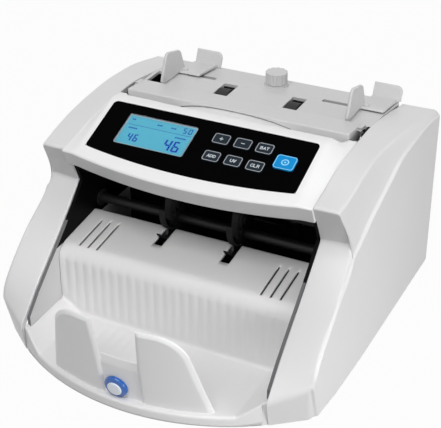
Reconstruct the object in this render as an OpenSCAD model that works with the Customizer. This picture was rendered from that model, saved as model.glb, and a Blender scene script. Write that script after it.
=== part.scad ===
// Desktop banknote counter: hopper and feed cover on top, sloping console, stacker bay at the front.
// X runs to the right, Y to the back, Z up. The origin is on the table under the middle of the machine.

/* [Body] */
// Clear width between the inner edges of the two side cheeks
bay_w = 199.2; // [196:0.2:206]
// Radius of the rounded front of the base, seen from above
base_r = 174; // [170:0.2:180]
// How far the front of the base lies in front of the origin
front_reach = 138.4; // [136:0.2:141]
// How far the rear foot of the cheeks lies behind the origin
rear_reach = 145; // [143:0.5:150]
// How far the rear top corner of a cheek hangs over its foot
rear_hang = 11; // [9:0.5:12]
// Wall of the cheek shells
cheek_wall = 2.6; // [2:0.1:3.2]
// Height of the rubber feet
foot_h = 2; // [1.5:0.1:3]
// Radius of a rubber foot
foot_r = 9; // [6:0.5:11]

/* [Frame] */
// Thickness of the two side frames
frame_t = 2.4; // [1.6:0.1:3]
// Thickness of the base pan
pan_t = 3; // [2:0.1:3.4]
// Thickness of the bulkhead behind the note path
bulkhead_t = 2; // [1.5:0.1:3]
// Radius of the tie rods
tie_r = 3; // [2:0.1:4]
// Thickness of the rear cover
rear_t = 2.5; // [2:0.1:3]

/* [Stacker] */
// Height of the tray floor above the table
floor_z = 10; // [9.5:0.1:12]
// Thickness of the tray wall
tray_t = 2.5; // [1.8:0.1:3]
// How far the upright tray wall lies in front of the origin
wall_reach = 60; // [58:0.5:63]
// Height of the slotted step
step_z = 68; // [66:0.5:70]
// Radius of the rounded nose of the step
nose_r = 12; // [9:0.5:14]
// Width of a slot in the step
slot_w = 1.8; // [1.5:0.1:3]
// Height of the wings of the front plate
wing_z = 78.2; // [76:0.2:82]
// Height of the gap between the wings
gap_z = 46.5; // [43:0.5:52]
// Width of the gap between the wings
gap_w = 30; // [26:0.5:36]
// Half width of the front plate at its foot
wing_foot = 64.5; // [62:0.5:68]
// Thickness of the front plate
plate_t = 2.8; // [2:0.1:3.4]
// Forward lean of the front plate
plate_lean = 9.46; // [7:0.1:11]
// Radius of the round cap on the front plate
cap_r = 9; // [6:0.5:10]

/* [Console] */
// Slope of the control panel
pitch = 20.4; // [19:0.1:21.5]
// Wall of the console shell
console_wall = 2.5; // [2:0.1:3]
// Width of the black control panel
panel_w = 168; // [162:0.5:170]
// Length of the control panel down the slope at its corners
panel_l = 49.2; // [46:0.2:49.6]
// How far the lower edge of the panel bulges forward in its middle
panel_bulge = 7.2; // [3:0.2:8]
// Thickness of the control panel
panel_t = 1.2; // [0.8:0.1:1.4]
// Width of the display window
display_w = 56.8; // [50:0.2:59]
// Height of the display window
display_h = 30.2; // [26:0.2:32]
// Width of a small key
key_w = 13; // [11:0.2:14.4]
// Height of a small key
key_h = 9.8; // [8.5:0.2:12]
// Spacing of the small keys
key_pitch = 17.1; // [16.6:0.1:17.4]
// Width of the start key
start_w = 15.6; // [13:0.2:16.4]
// Height of the start key
start_h = 13; // [10:0.2:18]
// How far a key stands out of the panel
key_rise = 0.9; // [0.5:0.1:1.4]
// How far a key travels
key_travel = 0.7; // [0.4:0.1:1]

/* [Hopper] */
// Height of the hopper floor
hopper_z = 148; // [147.5:0.1:148.4]
// Thickness of the hopper plate
hopper_t = 2.5; // [2:0.1:2.8]
// Thickness of the note guides
guide_t = 2.5; // [2:0.1:3.4]
// Distance from the middle of the hopper to the inner face of each note guide
guide_x = 78; // [74:0.5:80]
// Height of the note guides above the hopper
guide_h = 25.2; // [21:0.1:27]
// Gap between the front of the feed cover and a cheek at each end
cover_inset = 6.8; // [6:0.1:9]
// Wall of the feed cover
cover_t = 2.5; // [2:0.1:3]
// Radius of the hinge pins of the feed cover
hinge_r = 2; // [1.5:0.1:2.4]
// Radius of the gap adjusting knob
knob_r = 9; // [7:0.5:10]

/* [Drive] */
// Radius of the feed, transport and stacker shafts
shaft_r = 4; // [3:0.1:4.4]
// Radius of the feed rollers
feed_r = 16; // [14:0.2:16.2]
// Radius of the pickup rollers
pickup_r = 13; // [12:0.1:13.4]
// Radius of the transport rollers
transport_r = 11; // [9:0.2:11.4]
// Radius of the pinch rollers
pinch_r = 6; // [4.5:0.1:6.4]
// Radius of the stacker finger wheels
finger_r = 29.5; // [26:0.5:30.5]
// Number of fingers on each wheel
fingers = 10; // [8:1:12]
// Radius of the drive motor can
motor_r = 21; // [17:0.5:23]
// Width of the drive belts
belt_w = 5; // [4:0.2:5.6]
// Thickness of the drive belts
belt_t = 1.4; // [1:0.1:1.8]

/* [Clearance] */
// Gap between pieces that move past each other
gap = 0.4; // [0.3:0.05:0.5]
// Radial clearance of shafts and pins in their bores
run = 0.05; // [0.03:0.01:0.09]

/* [Hidden] */
$fn = 64;
hull_fn = 32;

// Colours
shell_grey = [0.80, 0.80, 0.80];
console_white = [0.94, 0.94, 0.94];
trim_grey = [0.74, 0.74, 0.74];
black = [0.03, 0.03, 0.035];
steel = [0.66, 0.67, 0.69];
rubber = [0.10, 0.10, 0.11];
board_green = [0.05, 0.28, 0.15];
key_slate = [0.10, 0.13, 0.16];
start_blue = [0.02, 0.42, 0.80];
cyan = [0.20, 0.72, 0.88];
belt_black = [0.07, 0.07, 0.07];
brass = [0.72, 0.58, 0.30];

// Shared places
half = bay_w / 2;
arc_y = base_r - front_reach;
seat_gap = 0.3;
frame_side = 0.6;
frame_xo = half - frame_side;
frame_xi = frame_xo - frame_t;
bay_half = frame_xi - seat_gap;
pan_top = foot_h + pan_t;
rear_face = rear_reach - 2;
frame_rear = rear_face - rear_t - 3;
hopper_bend = rear_face - 39;
hopper_drop = 5.2;

// Shaft centres as [y, z]
feed = [58, 128];
pickup = [90, hopper_z - 11.8];
transport = [34, 104];
stacker = [4, 78];
motor = [rear_face - 48, 40];
pinch = [transport[0] - transport_r - pinch_r - gap, transport[1]];
hinge = [69, 146];

// Feed cover
cover_half = half - cover_inset;
cover_front = 45.8;
cover_rear = 72.5;
cover_top = hopper_z + 7.7;
cover_low = hopper_z - 0.8;
cover_fall = 2.7;

// Edge lines of a cheek from the rear top, over the nose and down the ramp to the front foot.
// Each row is the inner edge [y, z], the band edge [x, y, z] and the ridge [x, y, z].
// Here x starts at the inner edge.
cheek_rows = [
  [[rear_reach + rear_hang - 4.5, hopper_z - 10.6], [27.2, rear_reach + rear_hang - 2, hopper_z - 11.4],
    [30.4, rear_reach + rear_hang, hopper_z - 16.5]],
  [[112, hopper_z - 2.3], [25.8, 110, hopper_z - 2.1], [32.2, 117, hopper_z - 8.5]],
  [[73, hopper_z + 3.6], [23.6, 68, hopper_z + 2.6], [31.6, 66, hopper_z - 9.2]],
  [[45, 151.9], [21.4, 40, 151.6], [30.7, 39.3, 130.1]],
  [[20, 151], [20.6, 20, 150.7], [29.8, 18.6, 121.7]],
  [[0, 148.6], [20.6, 0, 148], [28.7, 2, 113.5]],
  [[-20, 143.8], [20.4, -20, 143.6], [27.4, -7.5, 105.2]],
  [[-40, 140], [18.7, -39.6, 140], [26.7, -16, 99.9]],
  [[-31, 122.5], [20.4, -30, 123], [26.5, -20, 98.2]],
  [[-22, 105], [22.6, -22, 107], [27, -25.6, 96.6]],
  [[-35, 92.8], [24.9, -32.5, 93.5], [27.4, -34, 90]],
  [[-55, 75], [25.2, -56, 75.6], [27.9, -57, 75]],
  [[-73, 60], [25.2, -75, 60.7], [27.9, -76.6, 59]],
  [[-92, 43.5], [25.2, -89.5, 46.2], [27.9, -90.6, 44.4]],
  [[-112, 23.5], [24.7, -97, 32.7], [27.4, -95.6, 33.9]],
  [[-107.7, foot_h], [23.4, -89.5, foot_h], [27.2, -84.5, foot_h]]
];
cheek_last = len(cheek_rows) - 1;
// Rows whose ridge stands over its own point of the ground line
ground_last = 12;
// Ground line of a cheek as [y, x]
ground_line = [[-84.5, 27.2], [-60, 29.6], [-10, 31.6], [90, 33], [rear_reach, 33.9]];
// Height of the seam between the console and a cheek as [y, z]
seam_line = [for (i = [7:-1:1]) cheek_rows[i][0]];

// Control panel
panel_mid = [-10.75, 152.65];
panel_top_y = 12;
crest_r = 17.5;
crest_z = panel_mid[1] + (panel_top_y - panel_mid[0]) * tan(pitch);
crest_c = [panel_top_y + crest_r * sin(pitch), crest_z - crest_r * cos(pitch)];
console_half = half - seat_gap;
// How far the wings' tips stand out in front of the base, and the middle between them and the rear edge
wing_tip = 6.4;
mid_y = (rear_reach + rear_hang - front_reach - wing_tip) / 2;
shoulder_x = panel_w / 2 + 3;
lip_r = 495;
lip_y = -51.8;
lip_h = 14.5;
lip_back = 7;
ledge_y = 44.5;
ledge_z = 143;
display_x = -36.9;
key_inset = 71;
key_x0 = panel_w / 2 - key_inset;
key_v = [8.6, -9];
start_inset = 17.5;
start_x = panel_w / 2 - start_inset;
start_v = 0;
board_w = -8.8;
board_t = 1.6;
key_list = [
  ["key_plus", key_x0, key_v[0]], ["key_minus", key_x0 + key_pitch, key_v[0]],
  ["key_batch", key_x0 + 2 * key_pitch, key_v[0]], ["key_add", key_x0, key_v[1]],
  ["key_uv", key_x0 + key_pitch, key_v[1]], ["key_clear", key_x0 + 2 * key_pitch, key_v[1]]
];

// Drive
pickup_shaft_r = 3;
bush_wall = 1.5;
feed_x = [22, 48];
feed_w = [14, 10];
pickup_x = 30;
pickup_w = 10;
transport_x = 50;
roller_w = 12;
finger_x = 28;
finger_w = 5;
hub_r = 9;
tyre_t = 3;
pulley_x = [frame_xo + 3, frame_xo + 10.6];
flange_t = 0.8;
flange_h = 1.2;
feed_pulley_r = [10, 8, 5];
pickup_pulley_r = 5;
transport_pulley_r = [7, 6];
stacker_pulley_r = 14;
motor_pulley_r = 7;
motor_shaft_r = 2.5;
shaft_end = pulley_x[1] + belt_w + 3;

// Rear panel
rear_z = 30;
inlet_x = -62;
inlet_w = 27;
inlet_h = 20;
inlet_depth = 20;
switch_x = -26;
switch_w = 16;
switch_h = 22;
rocker_w = 11;
rocker_h = 16;
rocker_tilt = 8;
rocker_y = rear_face - 4;
rocker_face = 4.4;
rocker_pin_r = 1.2;
knob_y = rear_face - 17;
knob_z = hopper_z - 1;

// Extrudes a [y, z] outline along X
module along_x(x0, length) {
  translate([x0, 0, 0]) rotate([90, 0, 90]) linear_extrude(length) children();
}

// Round bar along X at a [y, z] centre
module bar_x(x0, length, c, r) {
  translate([x0, c[0], c[1]]) rotate([0, 90, 0]) cylinder(h = length, r = r);
}

// Box from a low corner to a high corner
module box(a, b) {
  translate(a) cube(b - a);
}

// Rounded rectangle centred on the origin
module round_rect(w, h, r) {
  square([w - 2 * r, h], center = true);
  square([w, h - 2 * r], center = true);
  for (sx = [-1, 1], sy = [-1, 1])
    translate([sx * (w / 2 - r), sy * (h / 2 - r)]) circle(r);
}

// Places children in the plane of the control panel: x to the right, y up the slope, z out of the panel
module on_panel() {
  translate([0, panel_mid[0], panel_mid[1]]) rotate([pitch, 0, 0]) children();
}

// Moves children so that the middle of the outline lies over the origin
module centred() {
  translate([0, -mid_y, 0]) children();
}

module both_sides() {
  children();
  mirror([1, 0, 0]) children();
}

// Points of an arc in a plane
function arc(c, r, a0, a1, n) = [for (i = [0:n]) let (a = a0 + (a1 - a0) * i / n) c + r * [cos(a), sin(a)]];

// Two triangles for each four-cornered face
function split(q) = [for (f = q) each [[f[0], f[1], f[2]], [f[0], f[2], f[3]]]];

// Cheek shells

function turn(d) = [-d[1], d[0]] / norm(d);
function edge_normal(i) = turn(cheek_rows[i + 1][0] - cheek_rows[i][0]);
function miter(i) =
  i == 0 ? [-1, -1] :
  i == cheek_last ? [1, 1] :
  let (a = edge_normal(i - 1), b = edge_normal(i)) (a + b) / (1 + a * b);
function ground_y(i) = i == 0 ? rear_reach : cheek_rows[i][2][1];
// The hollow of a cheek ends at the rear cover
function hollow_y(i, t, y) = i == 0 && t > 0 ? rear_face : y;

// Corner points of a cheek, drawn in by t on every outside face
function cheek_points(t) = let (open = t > 0 ? -1 : 0, foot = foot_h + t) concat(
  [for (i = [0:cheek_last]) let (m = t * miter(i), p = cheek_rows[i][0])
    [open, hollow_y(i, t, p[0]) + m[0], p[1] + m[1]]],
  [for (i = [0:cheek_last]) let (m = t * miter(i), p = cheek_rows[i][1])
    [p[0] - 0.35 * t, hollow_y(i, t, p[1]) + m[0], p[2] + m[1]]],
  [for (i = [0:cheek_last]) let (k = i == cheek_last ? 1 : 0.6, m = k * t * miter(i), p = cheek_rows[i][2])
    [p[0] - t, hollow_y(i, t, p[1]) + m[0], p[2] + m[1]]],
  [for (i = [0:ground_last]) let (y = hollow_y(i, t, ground_y(i)))
    [lookup(y, ground_line) - t, y - (i == 0 ? t : 0), foot]],
  [[open, hollow_y(0, t, rear_reach) - t, foot]]
);

function cheek_faces() = let (
  n = cheek_last + 1, b = n, c = 2 * n, g = 3 * n, h = 3 * n + ground_last + 1, gl = ground_last
) concat(
  split([for (i = [0:cheek_last - 1]) [i, b + i, b + i + 1, i + 1]]),
  split([for (i = [0:cheek_last - 1]) [b + i, c + i, c + i + 1, b + i + 1]]),
  split([for (i = [0:gl - 1]) [c + i, g + i, g + i + 1, c + i + 1]]),
  [for (i = [gl:cheek_last - 1]) [c + i, g + gl, c + i + 1]],
  [concat([for (i = [0:cheek_last]) i], [h])],
  [concat([h, cheek_last, b + cheek_last, c + cheek_last], [for (i = [gl:-1:0]) g + i])],
  [[0, h, g], [0, g, c], [0, c, b]]
);

module cheek() {
  translate([half, 0, 0]) difference() {
    polyhedron(cheek_points(0), cheek_faces());
    polyhedron(cheek_points(cheek_wall), cheek_faces());
  }
}

module right_cheek() color(shell_grey) centred() cheek();
module left_cheek() color(shell_grey) centred() mirror([1, 0, 0]) cheek();

// Base and frames

module base_outline(r, w) {
  intersection() {
    translate([0, arc_y]) circle(r, $fn = 128);
    translate([-w, -front_reach]) square([2 * w, front_reach + frame_rear]);
  }
}

module base_pan() color(steel) centred() {
  translate([0, 0, foot_h]) linear_extrude(pan_t) base_outline(base_r - tray_t - seat_gap, frame_xo);
}

foot_places = [[half - 19.6, arc_y - base_r + 50.8], [half - 19.6, frame_rear - 15.5]];

module rubber_feet() color(rubber) centred() both_sides() {
  for (p = foot_places)
    translate(p) cylinder(h = foot_h, r = foot_r);
}

// Frame outline: along the ramp, up behind the nose, under the console, the hinge ear and the hopper
frame_drop = 3.6;
frame_front = -front_reach + 35;
ear_z = hinge[1] + hinge_r + 1.6;
frame_outline = concat(
  [[frame_front, pan_top], [frame_front, 29], [-90, 43], [-72, 58.5], [-54, 73.6], [-34, 91.8],
    [-21, 105], [-27.5, 120], [-30.5, 128], [-31, 136]],
  [for (p = seam_line) if (p[0] > -31 && p[0] < 29) [p[0], p[1] - frame_drop]],
  [[29.5, 146.8], [31.5, ledge_z - 0.8], [60, ledge_z - 0.8], [62, ear_z], [76, ear_z],
    [78, hopper_z - hopper_t], [hopper_bend, hopper_z - hopper_t],
    [frame_rear, hopper_z - hopper_t - hopper_drop], [frame_rear, pan_top]]
);
bush_r = shaft_r + bush_wall;
pickup_bush_r = pickup_shaft_r + bush_wall;
motor_hole_r = 6;

module frame_plate() {
  along_x(frame_xi, frame_t) polygon(frame_outline);
}

module frame_bores() {
  for (c = [feed, transport, stacker]) bar_x(frame_xi - 1, frame_t + 2, c, bush_r + run);
  bar_x(frame_xi - 1, frame_t + 2, pickup, pickup_bush_r + run);
  bar_x(frame_xi - 1, frame_t + 2, hinge, hinge_r + run);
}

module right_frame() color(trim_grey) centred() difference() {
  frame_plate();
  frame_bores();
  bar_x(frame_xi - 1, frame_t + 2, motor, motor_hole_r);
}

module left_frame() color(trim_grey) centred() mirror([1, 0, 0]) difference() {
  frame_plate();
  frame_bores();
}

tie_places = [[118, 112], [62, 16], [-30, 30]];

module tie_rods() color(steel) centred() {
  for (c = tie_places) bar_x(-frame_xi, 2 * frame_xi, c, tie_r);
}

// Shaft bushes with a flange against the inner face of each frame
module bush(c, r, ro) {
  difference() {
    union() {
      bar_x(frame_xi, frame_t, c, ro);
      bar_x(frame_xi - 1.5, 1.5, c, ro + 1.5);
    }
    bar_x(frame_xi - 3, frame_t + 6, c, r + run);
  }
}

module shaft_bushes() color(brass) centred() both_sides() {
  for (c = [feed, transport, stacker]) bush(c, shaft_r, bush_r);
  bush(pickup, pickup_shaft_r, pickup_bush_r);
}

// Stacker

wall_y = -wall_reach;
tray_fillet = 3;
step_slope = 6.6;
step_rear = 8;
hem_r = 4;
hem_h = 6;
tray_cut_z = step_z + 16;
nose_c = [wall_y + nose_r, step_z - nose_r];
nose_end = nose_c + nose_r * [cos(90 + step_slope), sin(90 + step_slope)];
step_end = [-step_rear, nose_end[1] + (-step_rear - nose_end[0]) * tan(step_slope)];
hem_c = step_end + hem_r * [sin(step_slope), -cos(step_slope)];
arc_n = 8;

// Upper line of the tray, moved o below and behind the surface
function tray_line(o) = concat(
  [[-front_reach - 2, floor_z - o]],
  arc([wall_y - tray_fillet, floor_z + tray_fillet], tray_fillet + o, -90, 0, arc_n),
  arc(nose_c, nose_r - o, 180, 90 + step_slope, arc_n),
  arc(hem_c, hem_r - o, 90 + step_slope, 0, arc_n),
  [[hem_c[0] + hem_r - o, hem_c[1] - hem_h]]
);
function reverse(l) = [for (i = [len(l) - 1:-1:0]) l[i]];

slot_xs = [for (i = [0:2]) half - 31.8 + 7.6 * i];
slot_front = nose_c[0] - 4.5;
slot_len = 34.5;
finger_slot_w = finger_w + 3;
gusset_x = bay_half - 16;
gusset_h = 11;
tray_pad_r = 5;

module front_trim(r) {
  translate([0, arc_y, 0]) cylinder(h = wing_z, r = r, $fn = 128);
}

module stacker_tray() color(trim_grey) centred() difference() {
  union() {
    intersection() {
      along_x(-bay_half, 2 * bay_half) polygon(concat(tray_line(0), reverse(tray_line(tray_t))));
      union() {
        front_trim(base_r);
        box([-bay_half, wall_y - 20, 0], [bay_half, 0, tray_cut_z]);
      }
    }
    intersection() {
      difference() {
        front_trim(base_r);
        front_trim(base_r - tray_t);
      }
      union() {
        box([-bay_half, -front_reach - 1, foot_h], [bay_half, wall_y, floor_z - tray_t / 2]);
        both_sides() box([bay_half - 1, -front_reach, foot_h],
          [half - seat_gap, frame_front, floor_z + gusset_h + 2]);
      }
    }
    intersection() {
      front_trim(base_r);
      both_sides() translate([0, wall_y + tray_t / 2, 0]) rotate([90, 0, 0]) linear_extrude(front_reach)
        polygon([[gusset_x, floor_z - tray_t / 2], [gusset_x, floor_z], [bay_half, floor_z + gusset_h],
          [bay_half, floor_z - tray_t / 2]]);
    }
    for (x = [-70, 70], y = [-96, -72])
      translate([x, y, pan_top]) cylinder(h = floor_z - tray_t / 2 - pan_top, r = tray_pad_r);
  }
  both_sides() {
    for (x = slot_xs)
      box([x - slot_w / 2, slot_front, step_z - 10], [x + slot_w / 2, slot_front + slot_len, tray_cut_z]);
    box([finger_x - finger_slot_w / 2, stacker[0] - finger_r - 4, step_z - 12],
      [finger_x + finger_slot_w / 2, 0, tray_cut_z]);
  }
}

// Front plate: a leaning curved plate cut to two wings joined by a low tongue
lean = tan(plate_lean);
plate_r0 = 177;
plate_arc_y = plate_r0 - front_reach + 4.2;
tongue_back = 1.8;
wing_arc_r = 23;
wing_arc_c = [wing_foot - 34, wing_z - wing_arc_r];

module plate_band(back) {
  r0 = plate_r0 - back;
  r1 = r0 + lean * (wing_z - floor_z);
  translate([0, plate_arc_y, 0]) rotate_extrude($fn = 128)
    polygon([[r0 - plate_t, floor_z], [r0, floor_z], [r1, wing_z], [r1 - plate_t, wing_z]]);
}

module to_front() {
  rotate([90, 0, 0]) linear_extrude(2 * front_reach) children();
}

wing_outline = concat(
  [[gap_w / 2 - 0.5, floor_z], [gap_w / 2, gap_z], [gap_w / 2 + 2.3, wing_z]],
  arc(wing_arc_c, wing_arc_r, 90, 10, 10),
  [[wing_foot, floor_z]]
);
cap_x = -4.3;
cap_z = 19.6;
cap_stem_r = 4;
cap_y = plate_arc_y - (plate_r0 - tongue_back + lean * (cap_z - floor_z));

module at_cap() {
  translate([cap_x, cap_y, cap_z]) rotate([90 + plate_lean, 0, 0]) children();
}

module front_plate() color(trim_grey) centred() difference() {
  union() {
    intersection() {
      plate_band(0);
      to_front() both_sides() polygon(wing_outline);
    }
    intersection() {
      plate_band(tongue_back);
      to_front() translate([-gap_w / 2 - 0.5, floor_z]) square([gap_w + 1, gap_z - floor_z]);
    }
  }
  at_cap() translate([0, 0, -2 * plate_t]) cylinder(h = 4 * plate_t, r = cap_stem_r + run);
}

module front_cap() color(start_blue) centred() at_cap() rotate_extrude()
  polygon(concat([[0, -plate_t], [cap_stem_r, -plate_t], [cap_stem_r, seat_gap], [cap_r, seat_gap]],
    arc([cap_r - 1.5, 1.5], 1.5, 0, 70, 4), [[0, 4.2]]));

// Bulkhead with the lamp clips, and the black guide over the stacker bay

bulkhead_y = feed[0] - 10;
bulkhead_top = feed[1] - 20;
lamp = [42, 72];
lamp_r = 4;
lamp_half = 62;
clip_w = 4;

module bulkhead() color(black) centred() difference() {
  union() {
    box([-bay_half, bulkhead_y, pan_top], [bay_half, bulkhead_y + bulkhead_t, bulkhead_top]);
    both_sides() box([lamp_half - 6, lamp[0] - lamp_r - 2, lamp[1] - lamp_r - 2],
      [lamp_half - 6 + clip_w, bulkhead_y + bulkhead_t / 2, lamp[1] + lamp_r + 2]);
  }
  bar_x(-lamp_half, 2 * lamp_half, lamp, lamp_r + run);
}

module uv_lamp() color([0.85, 0.85, 0.95]) centred() bar_x(-lamp_half, 2 * lamp_half, lamp, lamp_r);

guide_plate_z = 113;
guide_plate_t = 2.5;
guide_front = -20;
guide_rear = 26;
guide_flange_z = 131;
pinch_pin_r = 2;
ear_t = 1.6;

module upper_guide() color(black) centred() difference() {
  union() {
    box([-bay_half, guide_front, guide_plate_z], [bay_half, guide_rear, guide_plate_z + guide_plate_t]);
    box([-bay_half, guide_front, guide_plate_z],
      [bay_half, guide_front + guide_plate_t, guide_flange_z]);
    both_sides() {
      for (s = [-1, 1]) {
        ear_x = transport_x + s * (roller_w / 2 + gap + ear_t / 2);
        box([ear_x - ear_t / 2, pinch[0] - 4, pinch[1] - 4],
          [ear_x + ear_t / 2, pinch[0] + 4, guide_plate_z + 1]);
      }
      bar_x(transport_x - roller_w / 2 - gap - ear_t / 2, roller_w + 2 * gap + ear_t, pinch, pinch_pin_r);
    }
  }
}

// Console

console_xs = let (h = [for (i = [1:8]) i / 8], s = [0.25, 0.5, 0.75, 0.9, 1]) let (
  r = concat([for (f = h) f * shoulder_x], [for (f = s) shoulder_x + f * (console_half - shoulder_x)])
) concat(reverse(-r), [0], r);
slope_rows = [0, 0.3, 0.65];
crest_rows = [-pitch, 0, 20, 40, 60, 80];

function front_y(x) = lip_y + x * x / (2 * lip_r);
function smooth(t) = let (c = max(0, min(1, t))) c * c * (3 - 2 * c);
function shoulder(x) = smooth((abs(x) - shoulder_x) / (console_half - shoulder_x));
function settle(x, p) = p - [0, max(0, p[1] - lookup(p[0], seam_line) + seat_gap) * shoulder(x)];
function slope_point(x, f) = let (y = front_y(x) + (panel_top_y - front_y(x)) * f)
  [y, panel_mid[1] + (y - panel_mid[0]) * tan(pitch)];

// Lower edge of the feed cover over the finger dish as [x, z]
arch_drop = [
  [-46, 6.1], [-38, 4], [-30, 2.6], [-22, 1.8], [-10, 1.3], [6, 1.4],
  [18, 2], [28, 2.8], [36, 3.9], [44, 5.5], [50, 6.9]
];
arch_line = concat([[-54, cover_low]], [for (p = arch_drop) [p[0], cover_top - p[1]]], [[56, cover_low]]);
dish_gap = 0.6;
dish_rear = cover_front - 1;
dish_dip = 1.4;
dish_start = 20;
// The rear of the console also rises to the cover beside the cheeks
rise_x = cover_half - 8;
rise_end = cover_half + 1;
rise_h = 4.3;

// How far the console follows the finger dish at x, and how far it follows any rear rise
function dish(x) = smooth(3 * (lookup(x, arch_line) - cover_low) / (cover_top - cover_low));
function rise(x) = max(dish(x), smooth((abs(x) - rise_x) / (rise_end - rise_x)));
function rear_z(x) = abs(x) > rise_x ? cover_low + rise_h : lookup(x, arch_line) - dish_gap;
function crest_point(a) = crest_c + crest_r * [sin(a), cos(a)];
// A point of the rise, from the crest at f = 0 to its rear edge at f = 1
function dish_point(x, f) = crest_point(dish_start) * (1 - f) + [dish_rear, rear_z(x)] * f
  - [0, dish_dip * sin(180 * f)];
function crest_dish(x, a) = let (k = a > dish_start ? rise(x) : 0, f = (a - dish_start) / (80 - dish_start))
  crest_point(a) * (1 - k) + dish_point(x, f) * k;
function crest_in(x, a) = let (
  k = a > dish_start ? rise(x) : 0,
  b = a * (1 - k) + (a < 80 ? pitch : 45) * k
) [sin(b), cos(b)];

// One column of the console at x: [y, z] points from the lip's lower edge to the rear foot, drawn in by t
function console_column(x, t) = let (
  front = settle(x, slope_point(x, 0)),
  lip = [[front[0] + lip_back + t, front[1] - lip_h]],
  corner = [front + [1.2 * t, -t]],
  slope = [for (i = [1:len(slope_rows) - 1])
    settle(x, slope_point(x, slope_rows[i])) + t * [sin(pitch), -cos(pitch)]],
  crest = [for (a = crest_rows) settle(x, crest_dish(x, a)) - t * crest_in(x, a)],
  foot = [[crest_point(80)[0] * (1 - rise(x)) + dish_rear * rise(x) - t * sin(80), ledge_z]]
) concat(lip, corner, slope, crest, foot);

console_n = len(slope_rows) + len(crest_rows) + 2;

function console_points() = concat(
  [for (x = console_xs) each [for (p = console_column(x, 0)) [x, p[0], p[1]]]],
  [for (x = console_xs) each [for (p = console_column(x, console_wall)) [x, p[0], p[1]]]]
);

function console_faces() = let (n = console_n, m = len(console_xs), k = n * m) concat(
  split([for (i = [0:m - 2], j = [0:n - 2])
    [i * n + j, i * n + j + 1, (i + 1) * n + j + 1, (i + 1) * n + j]]),
  split([for (i = [0:m - 2], j = [0:n - 2])
    [k + i * n + j, k + (i + 1) * n + j, k + (i + 1) * n + j + 1, k + i * n + j + 1]]),
  split([for (i = [0:m - 2]) [i * n, (i + 1) * n, k + (i + 1) * n, k + i * n]]),
  split([for (i = [0:m - 2]) let (e = n - 1)
    [i * n + e, k + i * n + e, k + (i + 1) * n + e, (i + 1) * n + e]]),
  split([for (j = [0:n - 2]) [j, k + j, k + j + 1, j + 1]]),
  split([for (j = [0:n - 2]) let (e = (m - 1) * n) [e + j, e + j + 1, k + e + j + 1, k + e + j]])
);

bulge_r = (panel_w * panel_w / 4 + panel_bulge * panel_bulge) / (2 * panel_bulge);
panel_corner = 4;

module panel_outline(grow) {
  intersection() {
    translate([0, -panel_bulge / 2])
      round_rect(panel_w + 2 * grow, panel_l + panel_bulge + 2 * grow, panel_corner);
    translate([0, bulge_r - panel_l / 2 - panel_bulge]) circle(bulge_r + grow, $fn = 256);
  }
}

module key_shape(grow) round_rect(key_w + 2 * grow, key_h + 2 * grow, 2 + grow);
module start_shape(grow) round_rect(start_w + 2 * grow, start_h + 2 * grow, 2.5 + grow);

// Openings for the keys and the display through the panel and the console
module panel_openings(grow) {
  for (k = key_list) translate([k[1], k[2]]) key_shape(grow);
  translate([start_x, start_v]) start_shape(grow);
  translate([display_x, 0]) round_rect(display_w + 2 * grow, display_h + 2 * grow, 1.5);
}

module console_shell() color(console_white) centred() difference() {
  union() {
    polyhedron(console_points(), console_faces());
    box([-bay_half, crest_c[0] + (crest_r - 0.5 * console_wall) * sin(80), ledge_z + 0.4],
      [bay_half, ledge_y, ledge_z + console_wall]);
  }
  on_panel() {
    translate([0, 0, -panel_t]) linear_extrude(3 * panel_t) panel_outline(run);
    translate([0, 0, -3 * console_wall]) linear_extrude(6 * console_wall) panel_openings(gap);
  }
}

module control_panel() color(black) centred() on_panel() translate([0, 0, -panel_t]) linear_extrude(panel_t)
  difference() {
    panel_outline(0);
    panel_openings(gap);
  }

window_t = 1;

module display_window() color(cyan) centred() on_panel()
  translate([display_x, 0, -window_t]) linear_extrude(window_t)
  round_rect(display_w, display_h, 1.5);

module_rim = 1.5;
rim_w = 1;

module display_module() color(steel) centred() on_panel() {
  module_t = -board_w - window_t - module_rim;
  translate([display_x, 0, board_w]) difference() {
    linear_extrude(module_t + module_rim) square([display_w, display_h], center = true);
    translate([0, 0, module_t]) linear_extrude(2 * module_rim)
      square([display_w - 2 * rim_w, display_h - 2 * rim_w], center = true);
  }
}

board_half_w = 76;
board_half_h = 20;
post_r = 2;
switch_clear = key_travel + 0.6;
stem_end = -console_wall - 0.6 - 1.4 - 1.2;

module key_board() color(board_green) centred() on_panel() {
  translate([0, 0, board_w - board_t]) linear_extrude(board_t)
    square([2 * board_half_w, 2 * board_half_h], center = true);
  for (sx = [-1, 1], sy = [-1, 1])
    translate([sx * (board_half_w - 3), sy * (board_half_h - 3), board_w])
      cylinder(h = -board_w - console_wall, r = post_r);
  for (p = concat([for (k = key_list) [k[1], k[2]]], [[start_x, start_v]]))
    translate([p[0], p[1], board_w]) linear_extrude(stem_end - switch_clear - board_w)
      square([6, 6], center = true);
}

// A key: cap above the panel, wider flange under the console wall and a stem down to its switch
module key_body(flange_grow, start) {
  flange_top = -console_wall - 0.6;
  translate([0, 0, flange_top]) linear_extrude(key_rise - flange_top)
    if (start) start_shape(0); else key_shape(0);
  translate([0, 0, flange_top - 1.4]) linear_extrude(1.4)
    if (start) start_shape(flange_grow); else key_shape(flange_grow);
  translate([0, 0, stem_end]) cylinder(h = flange_top - 1.4 - stem_end, r = 1.6);
}

module key(i) color(key_slate) centred() on_panel()
  translate([key_list[i][1], key_list[i][2], 0]) key_body(1, false);
module key_plus() key(0);
module key_minus() key(1);
module key_batch() key(2);
module key_add() key(3);
module key_uv() key(4);
module key_clear() key(5);
module key_start() color(start_blue) centred() on_panel() translate([start_x, start_v, 0]) key_body(1, true);

// Hopper

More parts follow.
